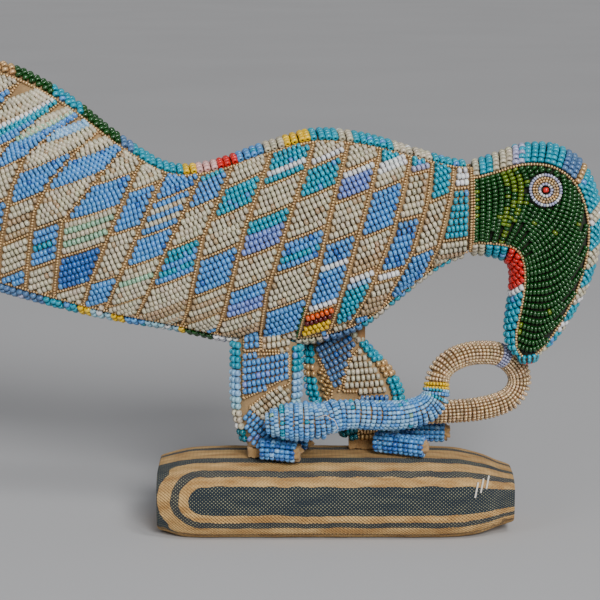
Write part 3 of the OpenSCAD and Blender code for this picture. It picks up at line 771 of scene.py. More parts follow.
def fill_column(fields, lines, place, left, right, slope, cells):
    """Lays rows across one column between two steep lines, from the back down."""
    tilt = math.tan(math.radians(slope))
    z = np.arange(BODY_TOP + 6, BODY_FOOT - 6, -0.25)
    x = (line_x(left, z) + line_x(right, z)) / 2
    point, _, inside = place(x, z, FIELD_DEPTH)
    fall = -np.diff(z) * math.cos(math.radians(slope)) - np.diff(x) * math.sin(math.radians(slope))
    step = np.hypot(fall, np.diff(point[:, 1]))
    run = running(np.maximum(step, 0.02))
    top = np.flatnonzero(inside)
    if len(top) == 0:
        return
    at = run[top[0]] - 2.2 * ROW
    end = run[top[-1]] + 2.2 * ROW
    order = cells[0] * 2 + cells
    k = 0
    while at < end:
        letter = order[k] if k < len(order) else "gb"[(k // 4) % 2]
        k += 1
        pitch = CROSS_ROW if letter == "/" else ROW
        row_z = np.interp(at + pitch / 2, run, z)
        row_x = np.interp(at + pitch / 2, run, x)
        at += pitch
        span = np.arange(-26, 26, 0.3)
        path_x = row_x + span
        path_z = row_z + tilt * span + ROW_BOW * span**2
        gap = CROSS_GAP if letter == "/" else ROW_GAP
        fits = (path_x > line_x(left, path_z) + gap) & (path_x < line_x(right, path_z) - gap)
        if letter == "/":
            if fits.sum() > 4:
                lay_line(lines, place, path_x[fits], path_z[fits], LINE_DEPTH)
            continue
        points, outs, inside = place(path_x, path_z, FIELD_DEPTH)
        fits &= inside
        if fits.sum() < 5:
            continue
        string_beads(
            fields, points[fits], outs[fits], BEAD_PITCH, *FIELD_BEAD,
            mixed(letter, FIELD_SPARE.get(letter, letter), 0.05), rng.uniform(0, 0.5),
        )


def bead_body(side, name):
    """Covers one side of the body with its columns and the tan strings between them."""
    place = body_place(side)
    columns = COLUMNS if side < 0 else COLUMNS[1:] + COLUMNS[:1]
    lines = f"lines_{name}"
    for left, right, slope, cells in zip([TAIL_LINE] + LINES, LINES, SLOPES[:1] + SLOPES, columns):
        fill_column(f"rows_{name}", lines, place, left, right, slope, cells)
    z = np.arange(BODY_TOP, BODY_FOOT, -0.5)
    for line in LINES[:-1]:
        lay_line(lines, place, line_x(line, z), z, LINE_DEPTH)
    low = z[z < DARK_TOP]
    lay_line(lines, place, line_x(LINES[DARK_LINE], low) - 0.9, low, LINE_DEPTH + 0.5, "n")
    for angle in (BODY_EDGE - 0.6, -BODY_EDGE + 0.6):
        skin_line(lines, side, np.arange(0.1, 13.9, 0.02), angle, -1.7)


# ---- The head's green rows ----


HEAD_ROW = 2.75
HEAD_PITCH = 1.72
HEAD_BEAD = (1.34, 0.84)
HEAD_DEPTH = -1.75
# The eye's station and angle, and the room that the green rows leave round it
EYE = ([17.0], np.array([20.0]))
EYE_ROOM = 7.9


def head_path(here, angle):
    """The stations that a green string follows from the crown down to the throat."""
    share = np.sin(np.radians(angle)) / math.sin(math.radians(HEAD_EDGE))
    deep = 0.75 * np.clip((here - 14.4) / 2.2, 0, 1) - 0.3 * np.clip((here - 20.5) / 3, 0, 1)
    bow = deep * (1 - share**2) * (1 + 0.25 * share)
    return np.clip(here + bow, NECK + 0.12, BEAK - 0.02)


def bead_head(side, name):
    """Green strings from the crown to the throat, which fan out round the bend of the head."""
    starts = np.arange(NECK + 0.14, BEAK - 0.1, 0.02)
    level = np.array([9.0, 12.0])
    marks = np.array([skin(STATIONS, head_path(s, level), level, HEAD_DEPTH) for s in starts])
    step = marks[1:, 0] - marks[:-1, 0]
    way = unit(marks[:-1, 1] - marks[:-1, 0])
    across = np.linalg.norm(step - way * (step * way).sum(1, keepdims=True), axis=1)
    run = running(across)
    eye, _ = on_skin(STATIONS, *EYE, -1.7)
    angle = np.arange(HEAD_EDGE - 2.0, -HEAD_EDGE + 1.5, -0.6)
    for k, at in enumerate(np.arange(0.2, run[-1], HEAD_ROW)):
        here = np.interp(at, run, starts)
        after = np.interp(at + HEAD_ROW, run, starts)
        point, out = on_skin(STATIONS, head_path(here, angle), angle, HEAD_DEPTH)
        near = skin(STATIONS, head_path(after, angle), angle, HEAD_DEPTH)
        way = unit(np.gradient(point, axis=0))
        gap = near - point
        room = np.linalg.norm(gap - way * (gap * way).sum(1, keepdims=True), axis=1)
        keep = np.ones(len(angle), bool)
        if k % 2:
            keep &= room > 2.0
        if k % 4 == 2:
            keep &= room > 1.0
        away = np.hypot(point[:, 0] - eye[0, 0], point[:, 2] - eye[0, 2])
        keep &= away > EYE_ROOM
        point[:, 1] *= side
        out[:, 1] *= side
        light = 5 <= k <= 7
        for part in stretches(keep, 4):
            string_beads(
                f"rows_{name}", point[part], out[part], HEAD_PITCH, *HEAD_BEAD,
                mixed("v", "n", 0.35) if light else mixed("n", "v", 0.02),
            )
    for turn in (HEAD_EDGE - 0.2, -HEAD_EDGE + 0.2):
        skin_line(f"lines_{name}", side, np.arange(NECK + 0.12, BEAK - 0.05, 0.02), turn, -1.3)
    for s in (NECK - 0.05, NECK + 0.07):
        skin_line(f"lines_{name}", side, s, np.arange(-66, 66.1, 1.5), -1.4)


# ---- Bands that wrap the seams ----

# Colours along each band: the station where each one ends
BACK_COLOURS = [
    (1, "a"), (2, "n"), (2.6, "t"), (3.4, "g"), (4.12, "a"), (4.76, "n"), (5.3, "t"), (6, "n"),
    (6.27, "s"), (7.35, "t"), (7.7, "y"), (8.05, "i"), (8.43, "r"), (9, "b"), (9.36, "g"),
    (9.86, "y"), (10.45, "t"), (10.73, "g"), (11.57, "t"), (12.53, "g"), (13.7, "t"), (14, "g"),
]
CROWN_COLOURS = [
    (14.4, "g"), (15, "t"), (15.6, "g"), (15.95, "l"), (17.2, "t"), (17.95, "s"), (18.05, "a"),
    (18.85, "t"), (19.2, "g"), (19.9, "t"), (20.5, "g"), (21.1, "t"), (21.5, "g"), (22.2, "t"),
    (22.6, "g"), (23.3, "t"), (24, "g"),
]
BELLY_COLOURS = [
    (1, "a"), (2, "t"), (3, "g"), (3.75, "t"), (4.58, "s"), (5.2, "t"), (5.45, "y"), (5.9, "q"),
    (6.1, "y"), (6.54, "b"), (7.2, "q"), (7.3, "y"), (7.8, "n"), (8.4, "w"), (9.4, "t"),
    (10, "g"), (10.8, "s"), (11.3, "t"), (11.7, "g"), (12.2, "t"), (12.7, "g"), (13.3, "t"),
    (14, "g"),
]
THROAT_COLOURS = [
    (14.75, "g"), (16.2, "t"), (19.1, "r"), (19.6, "w"), (23.4, "t"), (24, "r"),
]


def band_letter(colours, s):
    return next((letter for end, letter in colours if s <= end), colours[-1][1])


BAND_PITCH = 2.4
BAND_BEAD = (1.5, 1.14)
BAND_DEPTH = -1.5


def seam_line(rows, s, middle, y):
    """The line of a seam along the back or the belly of a form."""
    return skin(rows, s, np.full(len(s), float(middle)), BAND_DEPTH, y)


def wrap_band(place, rows, first, last, edge, middle, colours, y=0.0, pitch=3.1, lean=0.0):
    """Wraps strings of beads across a seam, side by side along it."""
    s = np.arange(first, last, 0.01)
    run = run_along(seam_line(rows, s, middle, y))
    reach = 90 - edge - 2.0
    turn = np.arange(-reach, reach + 0.1, 1.5)
    for at in np.arange(pitch * 0.5, run[-1] - pitch * 0.3, pitch):
        here = np.interp(at, run, s)
        slant = lean * turn / reach + rng.normal(0, 0.01)
        where = np.clip(here + slant, first, last)
        point, out = on_skin(rows, where, middle + turn, BAND_DEPTH, y)
        letter = band_letter(colours, here)
        colour = mixed(letter, BAND_SPARE.get(letter, letter), 0.07)
        string_beads(place, point, out, BAND_PITCH, *BAND_BEAD, colour)


# ---- Legs ----

# The angle at which a leg's face ends and the strings of its edge begin
LEG_EDGE = 48.0
# A leg's beads: rows apart, beads apart, radius and half length
LEG_BEADS = (3.05, 2.15, 1.42, 1.0)
SMALL_LEG_BEADS = (2.6, 1.9, 1.2, 0.85)


def leg_place(rows, y, side):
    """Gives the points of one face of a leg for places in the side view."""
    heights = rows[::-1, 1]

    def place(x, z, depth):
        s = np.interp(z, heights, np.arange(len(rows))[::-1])
        row = spline(rows, s)
        w = (x - (row[:, 0] + row[:, 2]) / 2) / ((row[:, 0] - row[:, 2]) / 2)
        angle = np.degrees(np.arcsin(np.clip(w, -1, 1)))
        point, out = on_skin(rows, s, angle, depth)
        point[:, 1] = y + side * point[:, 1]
        out[:, 1] *= side
        inside = (np.abs(angle) < LEG_EDGE - 3) & (np.abs(w) < 1) & (z > 39.8) & (z < 99)
        inside &= ~buried(point)
        return point, out, inside

    return place


def buried(point):
    """Which points of a leg lie inside the body."""
    s, w = find_place(STATIONS, point[:, 0], point[:, 2], 7, 13)
    angle = np.degrees(np.arcsin(np.clip(w, -1, 1)))
    face = np.abs(on_skin(STATIONS, s, angle, 0.2)[0][:, 1])
    return (np.abs(w) < 1) & (np.abs(point[:, 1]) < face)


# Cells of each leg's face: the rows' colour, their slope and the outline, x and z
REAR_CELLS = [
    ("b", 10, [(-42.5, 90.5), (-34.5, 91), (-34.5, 83.5), (-42.5, 83)]),
    ("g", 8, [(-33.5, 99), (-14, 99), (-14, 83), (-33.5, 83.5)]),
    ("b", 10, [(-43, 81.5), (-20, 82.3), (-20, 72), (-43, 61.5)]),
    ("q", 0, [(-19.5, 81.5), (-14, 81.5), (-14, 62), (-19.5, 66)]),
    ("g", 34, [(-40, 58), (-28, 66), (-17, 69), (-14, 60), (-27, 52), (-30.5, 50)]),
    ("b", -36, [(-43, 55.5), (-40, 56), (-29, 47.5), (-14, 52), (-14, 39), (-43, 39)]),
]
FRONT_CELLS = [
    ("u", 58, [(-17, 78.5), (-12, 80), (-2.5, 65), (-3, 58), (-17, 58)]),
    ("s", 27, [(-10.8, 82), (-12, 99), (8, 99), (10.5, 85), (6, 76), (0.5, 61), (-1.5, 62.5)]),
    ("g", 3, [(12.5, 81.5), (31, 64), (31, 61.5), (3, 61.5), (5, 72), (8.8, 78.5)]),
    # T here is turquoise with painted shade, on the leg's lower part behind the snake.
    ("T", 20, [(-16, 57), (10, 57), (10, 39), (-16, 39)]),
    ("s", 0, [(11.2, 59), (34, 59), (34, 43.5), (11.2, 43.5)]),
    ("u", 0, [(11.2, 43), (34, 43), (34, 39), (11.2, 39)]),
]


def within(outline, x, z):
    """Which places lie inside an outline in the side view."""
    inside = np.zeros(len(x), bool)
    for (x0, z0), (x1, z1) in zip(outline, outline[1:] + outline[:1]):
        if z0 != z1:
            passes = (z0 > z) != (z1 > z)
            inside ^= passes & (x < (x1 - x0) * (z - z0) / (z1 - z0) + x0)
    return inside


def bead_leg(name, rows, y, cells):
    """Covers the two faces of a leg with cells of slanting rows, edged with tan strings."""
    for side in (-1, 1):
        place = leg_place(rows, y, side)
        for letter, slope, outline in cells:
            tilt = math.tan(math.radians(slope))
            row, pitch, radius, half = SMALL_LEG_BEADS if letter == "u" else LEG_BEADS
            middle = np.array(outline, float).mean(0)
            for level in np.arange(-60, 60, row / math.cos(math.radians(slope))):
                x = np.arange(-52, 40, 0.2)
                z = middle[1] + level + tilt * (x - middle[0])
                points, outs, inside = place(x, z, FIELD_DEPTH)
                for part in stretches(inside & within(outline, x, z), 8):
                    string_beads(
                        name, points[part], outs[part], pitch, radius, half,
                        mixed(letter, LEG_SPARE.get(letter, letter), 0.12),
                    )
            for (x0, z0), (x1, z1) in zip(outline, outline[1:] + outline[:1]):
                share = np.linspace(0, 1, 60)
                x = x0 + (x1 - x0) * share
                z = z0 + (z1 - z0) * share
                if abs(z1 - z0) + abs(x1 - x0) > 4:
                    lay_line(f"{name}_lines", place, x, z, LINE_DEPTH - 0.1)


# Each leg's edge ends at its foot in T, turquoise with painted shade.
REAR_EDGE = [(1.1, "w"), (2.1, "t"), (3.0, "k"), (3.6, "q"), (4.2, "g"), (5, "T")]
FRONT_EDGE = [(0.7, "w"), (1.6, "g"), (2.5, "t"), (3.3, "a"), (4.5, "t"), (5.4, "g"), (6, "T")]


def leg_edge(name, rows, y, colours):
    """Wraps the front and rear edges of a leg, where they come out of the body."""
    for middle in (90, 270):
        s = np.arange(0.05, len(rows) - 1.05, 0.01)
        clear = s[~buried(seam_line(rows, s, middle, y))]
        if len(clear) > 30:
            wrap_band(name, rows, clear[0], clear[-1] + 0.1, LEG_EDGE, middle, colours, y)


def narrowing(row, along, rise, drop, thin):
    """Four sections that close a form past its last station, as its sewn end does."""
    k = np.arange(4)
    lift = np.sin(np.radians(30 * k))
    draw = 1 - np.cos(np.radians(24 * k))
    sections = np.tile(np.array(row, float), (4, 1))
    sections[:, 0] += along[0] * lift + rise[0] * draw
    sections[:, 1] += along[1] * lift + rise[1] * draw
    sections[:, 2] += along[2] * lift + drop[0] * draw
    sections[:, 3] += along[3] * lift + drop[1] * draw
    sections[:, 4] *= np.cos(np.radians(thin * k))
    return sections


# The rings that close the tail's edge and the beak's tip
END_PITCH = 2.2
END_BEAD = (1.15, 0.95)
END_DEPTH = -0.9


def bead_end(place, sections, letters):
    """Strings of beads that close the tail's edge or the beak's tip."""
    turn = np.arange(0, 360, 3.0)
    for k, letter in zip((0.15, 1.0, 1.9, 2.85), letters):
        points, outs = on_skin(sections, np.full(len(turn), k), turn, END_DEPTH)
        string_beads(place, points, outs, END_PITCH, *END_BEAD, letter)
    share = np.linspace(0.2, 0.8, 12)[:, None]
    back, _ = on_skin(sections, [2.9], np.array([90.0]), END_DEPTH)
    belly, _ = on_skin(sections, [2.9], np.array([270.0]), END_DEPTH)
    way = unit(skin(sections, [2.9], np.array([0.0]), 0) - skin(sections, [0.1], np.array([0.0]), 0))
    points = back + (belly - back) * share
    outs = np.tile(way * (1, 0, 1), (12, 1))
    string_beads(place, points, unit(outs), END_PITCH - 0.1, *END_BEAD, letters[-1])


# ---- Snake and toes ----


def tube_rings(place, rows, first, last, pitch, radius, half, letters, depth, wander=0.0, lumps=0.0):
    """Winds rings of beads side by side round a bent tube."""
    s = np.arange(first, last, 0.005)
    line = spline(rows, s)
    run = run_along(line[:, :3])
    turn = np.radians(np.arange(0, 361, 6))
    for k, at in enumerate(np.arange(pitch * 0.5, run[-1], pitch)):
        here = np.interp(at, run, s)
        row = spline(rows, here)[0]
        ahead = spline(rows, min(here + 0.05, len(rows) - 1))[0]
        behind = spline(rows, max(here - 0.05, 0))[0]
        way = unit(ahead[:3] - behind[:3])
        side = unit(np.cross(way, (0, 1, 0)))
        top = np.cross(side, way)
        sag = lumps * (0.6 * math.sin(k * 1.9) + np.sin(2 * turn + k * 2.4)[:, None] - 0.5)
        outs = side * np.cos(turn)[:, None] * (row[4] - depth + sag)
        outs = outs + top * np.sin(turn)[:, None] * (row[3] - depth + sag)
        lean = way * (wander * np.sin(turn + rng.uniform(0, 6)))[:, None]
        points = row[:3] + outs + lean
        string_beads(place, points, unit(outs), 2 * half + 0.12, radius, half, letters(k, here))


def snake_letter(k, here):
    """Mostly blue, with a stray ring of another blue or turquoise here and there."""

    def choose(centres, share):
        pick = rng.random(len(centres))
        base = "t" if 11.75 < here < 12 or k in (3, 15) else "b"
        return ["t" if p > 0.985 else "e" if p > 0.975 else "k" if p > 0.55 else base for p in pick]

    return choose


def tail_letter(k, here):
    return mixed("c", "G", 0.2)


# Rings along the snake: piece, first and last place, pitch, bead, colours, depth, wander and lumps
SNAKE_RINGS = [
    ("snake_head", 0.05, 5, 2.1, 1.12, 0.85, snake_letter, 1.05, 0.3, 0.4),
    ("snake_body", 5, 10.2, 2.2, 1.08, 0.9, snake_letter, 1.08, 0.2),
    ("snake_bend", 10.2, 12, 1.7, 0.85, 0.7, snake_letter, 0.9, 0.2),
    ("snake_band", 12, 13, 1.6, 0.8, 0.65, lambda k, here: "y", 0.9, 0.1),
    ("snake_tail", 13, 18, 1.85, 0.86, 0.7, tail_letter, 0.95, 0.12),
    ("snake_white", 18, 18.5, 1.6, 0.8, 0.65, lambda k, here: "l", 0.9, 0.0),
    ("snake_tail", 18.5, 27, 1.85, 0.86, 0.7, tail_letter, 0.95, 0.12),
]


def toe_letter(k, here):
    def choose(centres, share):
        return ["k" if p > 0.9 else "B" if p > 0.6 else "b" for p in rng.random(len(centres))]

    return choose


def bead_toe(name, places):
    rows = np.array([(*p, 4.8, 4.8) for p in places], float)
    tube_rings(name, rows, 0.02, 2, 2.35, 1.28, 0.98, toe_letter, 1.15, 0.1)


# ---- Eyes ----


def bead_eye(side, name):
    """Rings of small beads round one red bead."""
    centre, axis = (found[0] for found in on_side(side, *EYE, -0.9))
    first = unit(np.cross(axis, (0, 0, 1)))
    second = np.cross(axis, first)
    turn = np.radians(np.arange(0, 361, 5))
    rings = [(6.85, 0.72, 0.6, "l"), (5.4, 0.66, 0.6, "a"), (4.15, 0.64, 0.6, "a"), (2.75, 0.7, 0.6, "l")]
    for radius, thick, half, letter in rings:
        ring = first * np.cos(turn)[:, None] + second * np.sin(turn)[:, None]
        points = centre + ring * radius
        outs = np.tile(axis, (len(turn), 1))
        mix = mixed(letter, {"l": "w", "a": "G"}[letter], 0.35)
        string_beads(f"eye_{name}", points, outs, 2 * half + 0.12, thick, half, mix)
    spot = centre + axis * 0.1
    tray.add(
        (f"pupil_{name}", "red"), spot[None], second[None], axis[None], 1.35, 1.25, ["r"],
    )


# ---- Cloth under the beads ----


def form_mesh(name, rows, first, last, angles, out, y, side):
    """A smooth sheet of cloth over a stuffed form."""
    along = int((last - first) * 8)
    bm = bmesh.new()
    bmesh.ops.create_grid(bm, x_segments=along, y_segments=24, size=1)
    flat = corners_of(bm.verts)
    s = first + (flat[:, 0] + 1) / 2 * (last - first)
    angle = angles[0] + (flat[:, 1] + 1) / 2 * (angles[1] - angles[0])
    point = skin(rows, s, angle, out)
    point[:, 1] = y + side * point[:, 1]
    for v, p in zip(bm.verts, point):
        v.co = p * MM
    bmesh.ops.recalc_face_normals(bm, faces=bm.faces)
    bm.faces.ensure_lookup_table()
    middle = bm.faces[len(bm.faces) // 2]
    if middle.normal.y * side < 0:
        bmesh.ops.reverse_faces(bm, faces=bm.faces)
    return to_mesh(name, bm)


def cloth_half(name, node, first, last, side):
    """One half of the sack under the beads."""
    me = form_mesh(name, STATIONS, first, last, (-88, 88), -3.2, 0, side)
    # The head's sack takes the near-black cloth, painted shade between its green beads.
    cloth = BEAD_CLOTH if last <= NECK else PAINTED_SHADE_CLOTH
    piece = show(name, me, cloth, "bead_cloth", node)
    wall = piece.modifiers.new("thickness", "SOLIDIFY")
    wall.thickness = 0.8 * MM
    wall.offset = -1


# ---- Cushion ----


def cushion_share(x, length):
    left = (1 - np.maximum(0, 1 - (x + length / 2) / 24) ** 3) ** (1 / 3)
    right = np.sqrt(1 - 0.9 * np.maximum(0, 1 - (length / 2 - x) / 40) ** 2.6)
    return np.minimum(left, right)


# How square the cushion's section is, and the least width and height of its ends
SQUARE = 0.62
END_WIDE = 0.3
END_TALL = 0.36
# How far below the table the section would reach if it were not pressed flat
SUNK = 3


def make_cushion():
    """Sews the cushion's cover, fills it by pressure and presses it flat where it stands."""
    low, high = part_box("cushion_cover")
    length = (high[0] - low[0]) / MM
    width = (high[1] - low[1]) / MM
    height = high[2] / MM
    middle = 0.43 * height
    bm = bmesh.new()
    bmesh.ops.create_uvsphere(bm, u_segments=48, v_segments=32, radius=1)
    less = 0.4
    for v in bm.verts:
        x, y, z = v.co.z, v.co.y, v.co.x
        spread = max(math.hypot(y, z), 1e-6)
        at = x * (length / 2 - 1.5)
        k = float(cushion_share(np.array([at]), length)[0])
        c, s = y / spread, z / spread
        end = min(1.0, (spread / 0.35)) if spread < 0.35 else 1.0
        wide = (width / 2 * max(k, END_WIDE) - less) * end
        tall = ((height - middle) * max(k, END_TALL) - less) * end
        deep = ((middle + SUNK) * max(k, END_TALL) - less) * end
        v.co = Vector((
            at,
            wide * math.copysign(abs(c) ** SQUARE, c),
            middle + (tall if s > 0 else deep) * math.copysign(abs(s) ** SQUARE, s),
        )) * MM
    bmesh.ops.recalc_face_normals(bm, faces=bm.faces)
    me = to_mesh("cushion_cloth", bm, False)
    piece = show("cushion_cloth", me, COTTON, "cushion_cloth", "cushion_cover")
    bpy.context.view_layer.objects.active = piece
    piece.select_set(True)
    remesh = piece.modifiers.new("even cloth", "REMESH")
    remesh.mode = "VOXEL"
    remesh.voxel_size = 4.2 * MM
    bpy.ops.object.modifier_apply(modifier=remesh.name)
    blow_up(piece)
    settle(piece, length, width, height, middle)
    smooth = piece.modifiers.new("smooth", "SUBSURF")
    smooth.levels = 1
    smooth.render_levels = 1
    bpy.ops.object.modifier_apply(modifier=smooth.name)
    mark_across(piece, length, width, height, middle)
    for p in piece.data.polygons:
        p.use_smooth = True


def blow_up(piece):
    """Fills the cover with pressure, so that it swells and wrinkles as stuffed cotton does."""
    rest = corners_of(piece.data.vertices)
    cloth = piece.modifiers.new("filling", "CLOTH")
    cloth.settings.quality = 5
    cloth.settings.mass = 0.2
    cloth.settings.tension_stiffness = 12
    cloth.settings.compression_stiffness = 12
    cloth.settings.bending_stiffness = 0.2
    cloth.settings.use_pressure = True
    cloth.settings.uniform_pressure_force = 4
    cloth.settings.effector_weights.gravity = 0
    cloth.point_cache.frame_start = 1
    cloth.point_cache.frame_end = 20
    for step in range(1, 21):
        bpy.context.scene.frame_set(step)
    bpy.ops.object.modifier_apply(modifier=cloth.name)
    bpy.context.scene.frame_set(1)
    moved = corners_of(piece.data.vertices) - rest
    far = np.linalg.norm(moved, axis=1, keepdims=True)
    cap = 5 * MM
    kept = rest + moved * np.minimum(1, cap / np.maximum(far, 1e-9))
    piece.data.vertices.foreach_set("co", kept.ravel())
    piece.data.update()


def settle(piece, length, width, height, middle):
    """Keeps the cover within its size, flat below and level where the feet press on it."""
    co = corners_of(piece.data.vertices) / MM
    pinch = np.clip((co[:, 0] - (length / 2 - 30)) / 30, 0, 1)
    folds = np.sin(np.arctan2(co[:, 2] - middle, co[:, 1]) * 9) * pinch**1.5 * 0.9
    co[:, 0] *= (length / 2 - 0.1) / np.abs(co[:, 0]).max()
    folds += 0.35 * np.sin(co[:, 0] * 0.31 + co[:, 2] * 0.5) * np.sin(co[:, 0] * 0.113 + 1)
    radial = unit(np.stack([co[:, 1], co[:, 2] - middle], 1))
    k = cushion_share(co[:, 0] * (1 - 4.4 / length), length)
    wide = width / 2 * np.maximum(k, END_WIDE) - 0.7
    above = co[:, 2] > middle
    tall = np.where(above, height - middle, middle + SUNK) * np.maximum(k, END_TALL) - 0.7
    bulk = (np.abs(co[:, 1]) / wide) ** 3.2 + (np.abs(co[:, 2] - middle) / tall) ** 3.2
    grow = np.clip(np.maximum(bulk, 1e-3) ** (-1 / 3.2), 1, 1.6)
    grow = np.where((bulk > 0.25) | (np.abs(co[:, 0]) < length / 2 - 5), grow, 1)
    co[:, 1] *= grow
    co[:, 2] = middle + (co[:, 2] - middle) * grow
    co[:, 1:] += radial * np.maximum(folds, 0)[:, None]
    cap = np.abs(co[:, 0]) > length / 2 - 5
    flat = length / 2 - 0.1 - 1.7 * np.clip(bulk, 0, 1) ** 4
    co[:, 0] = np.where(cap, np.sign(co[:, 0]) * flat, co[:, 0])
    crown = height - 0.1
    over = co[:, 2] > crown - 1.2
    co[over, 2] = crown - 1.2 + 1.2 * np.tanh((co[over, 2] - crown + 1.2) / 1.2)
    co[:, 2] = np.maximum(co[:, 2], 0.02)
    co[:, 1] = np.clip(co[:, 1], -width / 2 - 0.8, width / 2 + 0.8)
    piece.data.vertices.foreach_set("co", (co * MM).ravel())
    piece.data.update()


def mark_across(piece, length, width, height, middle):
    """Gives each point its distance round the cushion, which the stripes follow."""
    co = corners_of(piece.data.vertices) / MM
    turn = np.linspace(-180, 180, 721)
    c = np.cos(np.radians(turn))
    s = np.sin(np.radians(turn))
    y = -width / 2 * np.sign(c) * np.abs(c) ** SQUARE
    tall = np.where(s > 0, height - middle, middle + SUNK)
    z = np.maximum(middle + tall * np.sign(s) * np.abs(s) ** SQUARE, 0)
    run = running(np.hypot(np.diff(y), np.diff(z)))
    bearing = np.degrees(np.arctan2(z - middle, -y))
    bearing[0] = -180
    bearing[-1] = 180
    order = np.argsort(bearing)
    here = np.degrees(np.arctan2(co[:, 2] - middle, -co[:, 1]))
    where = np.interp(here, bearing[order], run[order])
    start = np.interp(-25.0, bearing[order], run[order])
    up = np.mod(where - start, run[-1])
    off = np.where(up > 17, up - 17, (17 - up) * 1.4)
    past = np.maximum(0, -(length / 2 - 21) - co[:, 0]) * 1.15
    curve = np.hypot(off, past * np.clip((30 - off) / 14, 0, 1))
    across = np.where(co[:, 1] < 6, curve, off)
    for name, values in (("across", across), ("round", up)):
        mark = piece.data.attributes.new(name, "FLOAT", "POINT")
        mark.data.foreach_set("value", values.astype(np.float32))


# ---- Small things ----


def loose_thread(name, points, thick):
    """A short end of sewing thread."""
    bm = bmesh.new()
    path = np.array(points, float)
    tube = [None] * len(path)
    for i, p in enumerate(path):
        a = path[max(i - 1, 0)]
        b = path[min(i + 1, len(path) - 1)]
        way = unit(b - a)
        side = unit(np.cross(way, (0.3, 0.9, 0.2)))
        top = np.cross(side, way)
        ring = bmesh.ops.create_circle(bm, cap_ends=False, segments=6, radius=thick * MM)["verts"]
        for v in ring:
            x, y = v.co.x, v.co.y
            v.co = Vector(p * MM) + Vector(side) * x + Vector(top) * y
        tube[i] = list({e for v in ring for e in v.link_edges})
    for a, b in zip(tube, tube[1:]):
        bmesh.ops.bridge_loops(bm, edges=a + b)
    bmesh.ops.holes_fill(bm, edges=bm.edges, sides=8)
    bmesh.ops.recalc_face_normals(bm, faces=bm.faces)
    show(name, to_mesh(name, bm), THREAD, "thread")


def finish_node(node, material):
    """Gives a node that stays in view its finish."""
    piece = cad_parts[node]
    piece.data.materials.clear()
    piece.data.materials.append(material)


def add_floor():
    bm = bmesh.new()
    bmesh.ops.create_grid(bm, x_segments=1, y_segments=1, size=9)
    me = to_mesh("floor", bm, False)
    me.materials.append(studio_floor())
    floor = bpy.data.objects.new("floor", me)
    bpy.context.collection.objects.link(floor)


def light_studio():
    world = bpy.data.worlds.new("studio")
    world.use_nodes = True
    world.node_tree.nodes["Background"].inputs[0].default_value = (0.23, 0.23, 0.235, 1)
    world.node_tree.nodes["Background"].inputs[1].default_value = 1.0
    bpy.context.scene.world = world
    sun = bpy.data.lights.new("window", "SUN")
    sun.energy = 2.8
    sun.angle = math.radians(20)
    sun.color = (1, 0.985, 0.96)
    window = bpy.data.objects.new("window", sun)
    bpy.context.collection.objects.link(window)
    window.rotation_euler = Vector((-0.5, 1.8, -1.0)).to_track_quat("-Z", "Y").to_euler()
    softbox("key", (0.45, -0.6, 0.95), (0, 0, 0.12), (0.3, 0.3), 4, (1, 0.985, 0.96))
    softbox("fill", (-0.7, -0.7, 0.6), (0, 0, 0.12), (0.4, 0.4), 1.5, (0.96, 0.98, 1))


def rumple(name, bm, node, amount, seed):
    """Finishes a small bundle of cloth, with folds that lean every way."""
    draws = np.random.default_rng(seed)
    low, high = (np.array(corner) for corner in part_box(node))
    places = corners_of(bm.verts)
    waves = draws.normal(size=(7, 3)) * 1300
    turns = draws.uniform(0, 6.3, 7)
    rise = np.sin(places @ waves.T + turns).mean(1) * amount * MM
    bm.normal_update()
    normals = np.array([v.normal[:] for v in bm.verts])
    places += normals * (rise - 0.15 * MM)[:, None]
    places = np.clip(places, low - 0.1 * MM, high + 0.1 * MM)
    for v, place in zip(bm.verts, places):
        v.co = Vector(place)
    return to_mesh(name, bm)


def cloth_stump(node, seed):
    """The bare cloth foot under a leg, bunched where it is sewn down."""
    low, high = (np.array(corner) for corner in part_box(node))
    bm = bmesh.new()
    bmesh.ops.create_cube(bm, size=1)
    bmesh.ops.subdivide_edges(bm, edges=bm.edges, cuts=19, use_grid_fill=True)
    for v in bm.verts:
        u = np.array(v.co[:]) * 2
        round_ = (np.abs(u[:2]) ** 5).sum() ** 0.2
        flat = max(abs(u[0]), abs(u[1]))
        u[:2] *= flat / max(round_, 1e-6)
        v.co = Vector((low + high) / 2 + (high - low) / 2 * u)
    show(f"{node}_cloth", rumple(node, bm, node, 2.6, seed), STUMP_CLOTH, "bead_cloth", node)


def cloth_plugs():
    """The rolled cloth that shows, frayed, at the end of each toe."""
    bm = bmesh.new()
    for places in TOES.values():
        before, end = np.array(places[-2:], float)
        way = unit(end - before)
        face = Vector(way).to_track_quat("Z", "Y").to_matrix().to_4x4()
        face.translation = Vector((end + way * 0.5) * MM)
        made = bmesh.ops.create_uvsphere(
            bm, u_segments=28, v_segments=16, radius=3.9 * MM, matrix=face,
        )
        for v in made["verts"]:
            away = np.array(v.co[:]) - end * MM
            deep = float(away @ way)
            v.co = v.co - Vector(way * deep * 0.45)
    me = rumple("toe_plugs", bm, "toe_plugs", 2.2, 4)
    show("toe_plug_cloth", me, STUMP_CLOTH, "bead_cloth", "toe_plugs")


# ---- Putting it together ----

